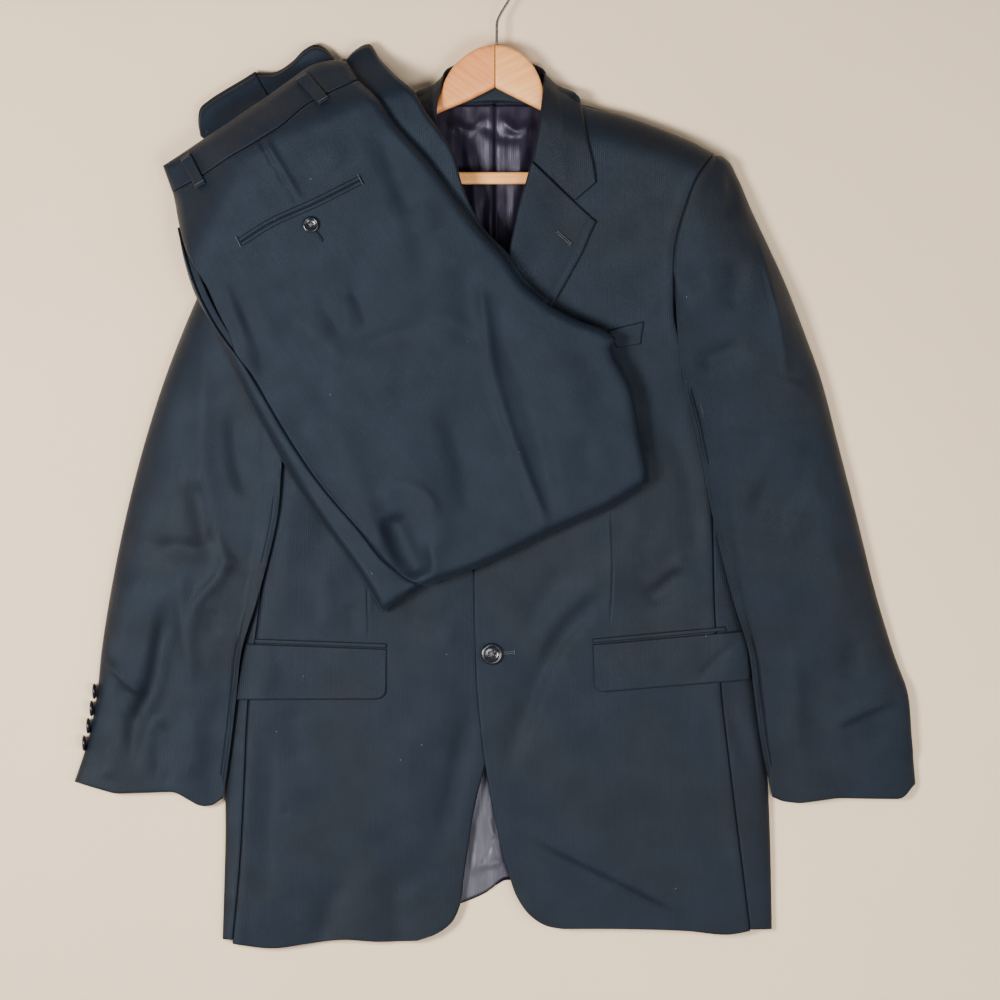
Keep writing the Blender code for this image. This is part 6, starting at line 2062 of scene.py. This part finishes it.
    def leg_end(self, node: str, edges: tuple[Line, Line], layers: int) -> None:
        """A folded leg's end or edge that shows beyond the upper layer, one layer on another."""
        outer, inner = (route([edge], np.linspace(0, 1, 90)) for edge in edges)
        pillows = []
        for index in range(layers):
            share = np.linspace(0.05 * index, 1, 12)[:, None, None]
            plan = (1 - share) * outer + share * inner
            plan = plan + (0.0, -1.2 * index)
            base = self.lie.underlay(plan[..., 0], plan[..., 1]) + 0.5
            thick = self.leg_layer / layers
            low = base + thick * index + (0.15 if index else 0)
            top = base + thick * (index + 1) - (0.15 if index < layers - 1 else 0)
            top = top + UNEVEN * ripple(plan[..., 0], plan[..., 1], 31 + index, 30) * (index == layers - 1)
            pillows.append(pillow(plan, low, top, 1.8))
        self.stack(node, pillows)


def pillow(plan: Array, low: Array, high: Array, soft: float) -> tuple[Array, Faces]:
    """A closed solid between two heights over a plan, its rim rounded.

    Args:
        plan: Rows of points.
        low, high: Heights of its underside and top at each.
        soft: How far in its rim's round reaches.

    Returns:
        Its points and faces.
    """
    rows, columns = low.shape
    across, down = plan[0, 1] - plan[0, 0], plan[1, 0] - plan[0, 0]
    if down[0] * across[1] - down[1] * across[0] < 0:
        plan, low, high = plan[:, ::-1], low[:, ::-1], high[:, ::-1]
    far = rim_distance(plan)
    near = np.minimum(np.minimum(far["left"], far["right"]), np.minimum(far["top"], far["bottom"]))
    middle, half = (low + high) / 2, (high - low) / 2
    half = half * quarter(near / soft)
    rim = near <= 1e-9
    points = list(np.concatenate([plan, (middle + half)[..., None]], axis=-1).reshape(-1, 3))
    under = {}
    for r in range(rows):
        for c in range(columns):
            if rim[r, c]:
                under[r, c] = r * columns + c
            else:
                under[r, c] = len(points)
                points.append(np.array([plan[r, c, 0], plan[r, c, 1], middle[r, c] - half[r, c]]))
    faces = []
    for r in range(rows - 1):
        for c in range(columns - 1):
            here = r * columns + c
            faces.append((here, here + columns, here + columns + 1, here + 1))
            faces.append((under[r, c], under[r, c + 1], under[r + 1, c + 1], under[r + 1, c]))
    return np.array(points), faces


# ---- stitching

@dataclass
class Stitching:
    """Buttonholes, bar tacks and the like, over the jacket and the trousers."""

    bench: Bench
    rows: StitchRow
    jacket: JacketLie
    trousers: TrouserLie
    lapel_hole: Line = ((57, 246.5), (69, 235.5))
    front_holes: tuple[Line, ...] = (((-5, -142.4), (17.5, -140.6)), ((-5, -31.2), (17.5, -29.8)))
    pocket_tacks: tuple[Line, ...] = (((-236.6, 240), (-232.2, 231.4)), ((-125, 296.4), (-120.6, 288)))
    loop_tacks: tuple[Line, ...] = (
        ((-288.6, 312), (-281.6, 316.6)), ((-274.6, 288.6), (-267, 292.8)),
        ((-182.4, 386.4), (-174.4, 391.2)), ((-161, 364), (-153.6, 368.8)),
    )

    def build(self) -> None:
        """Sews every row."""
        self.hole("stitches_lapel_hole", self.lapel_hole, 4.9)
        for index, line in enumerate(self.front_holes):
            self.hole(f"stitches_front_hole_{index + 1}", line, 0.45)
        for name, lines, lift, length, radius in (
            ("pocket", self.pocket_tacks, 2.45, 1.1, 0.36), ("loop", self.loop_tacks, 3.3, 0.8, 0.3),
        ):
            tacks = [self.line(line, self.trousers.top, lift, 24) for line in lines]
            self.rows.sew(f"stitches_{name}_tacks", tacks, 0.62, length, radius, Finish.TROUSERS, across=True)

    def line(self, line: Line, height: Height, lift: float, count: int) -> Array:
        """A straight line laid on a surface."""
        share = np.linspace(0, 1, count)[:, None]
        flat = np.array(line[0]) * (1 - share) + np.array(line[1]) * share
        return raised(flat, height, lift)

    def hole(self, name: str, line: Line, lift: float) -> None:
        """A worked buttonhole: stitches on both sides of the slit and a bar at its end."""
        start, end = (np.array(p, float) for p in line)
        way = (end - start) / np.linalg.norm(end - start)
        side = np.array([-way[1], way[0]]) * 0.85
        top = self.jacket.top
        sides = [self.line((start + out, end + out), top, lift, 40) for out in (side, -side)]
        bar = self.line((end + way * 0.4 + side * 2.1, end + way * 0.4 - side * 2.1), top, lift + 0.1, 12)
        self.rows.sew(name, [*sides, bar], 0.55, 0.75, 0.3, Finish.JACKET, across=True)


# ---- studio

@dataclass
class Studio:
    """The plain surface, the soft light and the camera."""

    bench: Bench
    camera_height: float = 3600.0
    camera_at: Point = (4.6, 0.0)
    lens: float = 139.6
    # Name, place, width, power and colour of each light.
    lamps: tuple[tuple, ...] = (
        ("above", (0.35, -0.50, 1.5), 0.5, 14.5, (1.0, 0.97, 0.94)),
        ("left", (-0.85, -0.08, 1.4), 0.45, 40.0, (1.0, 0.96, 0.91)),
        ("right", (1.5, -0.5, 1.5), 1.2, 17.0, (1.0, 0.96, 0.92)),
    )
    surround: float = 0.22

    def build(self) -> None:
        """Sets up the view."""
        mesh = bpy.data.meshes.new("floor")
        half, low = 3.0, -0.0003
        around = [(-half, -half, low), (half, -half, low), (half, half, low), (-half, half, low)]
        mesh.from_pydata(around, [], [(0, 1, 2, 3)])
        mesh.materials.append(Plaster("pale plaster").make())
        placed("floor", mesh)
        for lamp in self.lamps:
            self.light(*lamp)
        world = bpy.data.worlds.new("soft surround")
        world.use_nodes = True
        back = world.node_tree.nodes["Background"]
        back.inputs["Color"].default_value = (0.93, 0.95, 1.0, 1)
        back.inputs["Strength"].default_value = self.surround
        bpy.context.scene.world = world
        camera = bpy.data.cameras.new("from above")
        camera.lens = self.lens
        camera.sensor_width = 36.0
        bpy.context.scene.camera = placed("from above", camera)
        bpy.context.scene.camera.location = self.bench.metres((*self.camera_at, self.camera_height))

    def light(self, name: str, at: Colour, size: float, power: float, colour: Colour) -> None:
        """One soft square light aimed at the suit's middle."""
        lamp = bpy.data.lights.new(name, "AREA")
        lamp.size = size
        lamp.energy = power
        lamp.color = colour
        obj = placed(name, lamp)
        obj.location = at
        away = np.array(at) - np.array([0.0, -0.05, 0.0])
        tilt = math.atan2(math.hypot(away[0], away[1]), away[2])
        turn = math.atan2(away[1], away[0]) + math.pi / 2
        obj.rotation_euler = (tilt, 0, turn)


def main() -> None:
    """Builds the whole scene."""
    logging.basicConfig(level=logging.INFO, format="%(message)s")
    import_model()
    bench = Bench.from_frame()
    bench.dye()
    thread = Thread("dark thread").make()
    jacket, trousers = Jacket(bench), Trousers(bench)
    jacket.build()
    Hanger(bench).build()
    trousers.build()
    Buttons(bench, thread).build(jacket.lie, trousers.lie)
    Stitching(bench, StitchRow(bench, thread), jacket.lie, trousers.lie).build()
    Studio(bench).build()


if __name__ == "__main__":
    main()
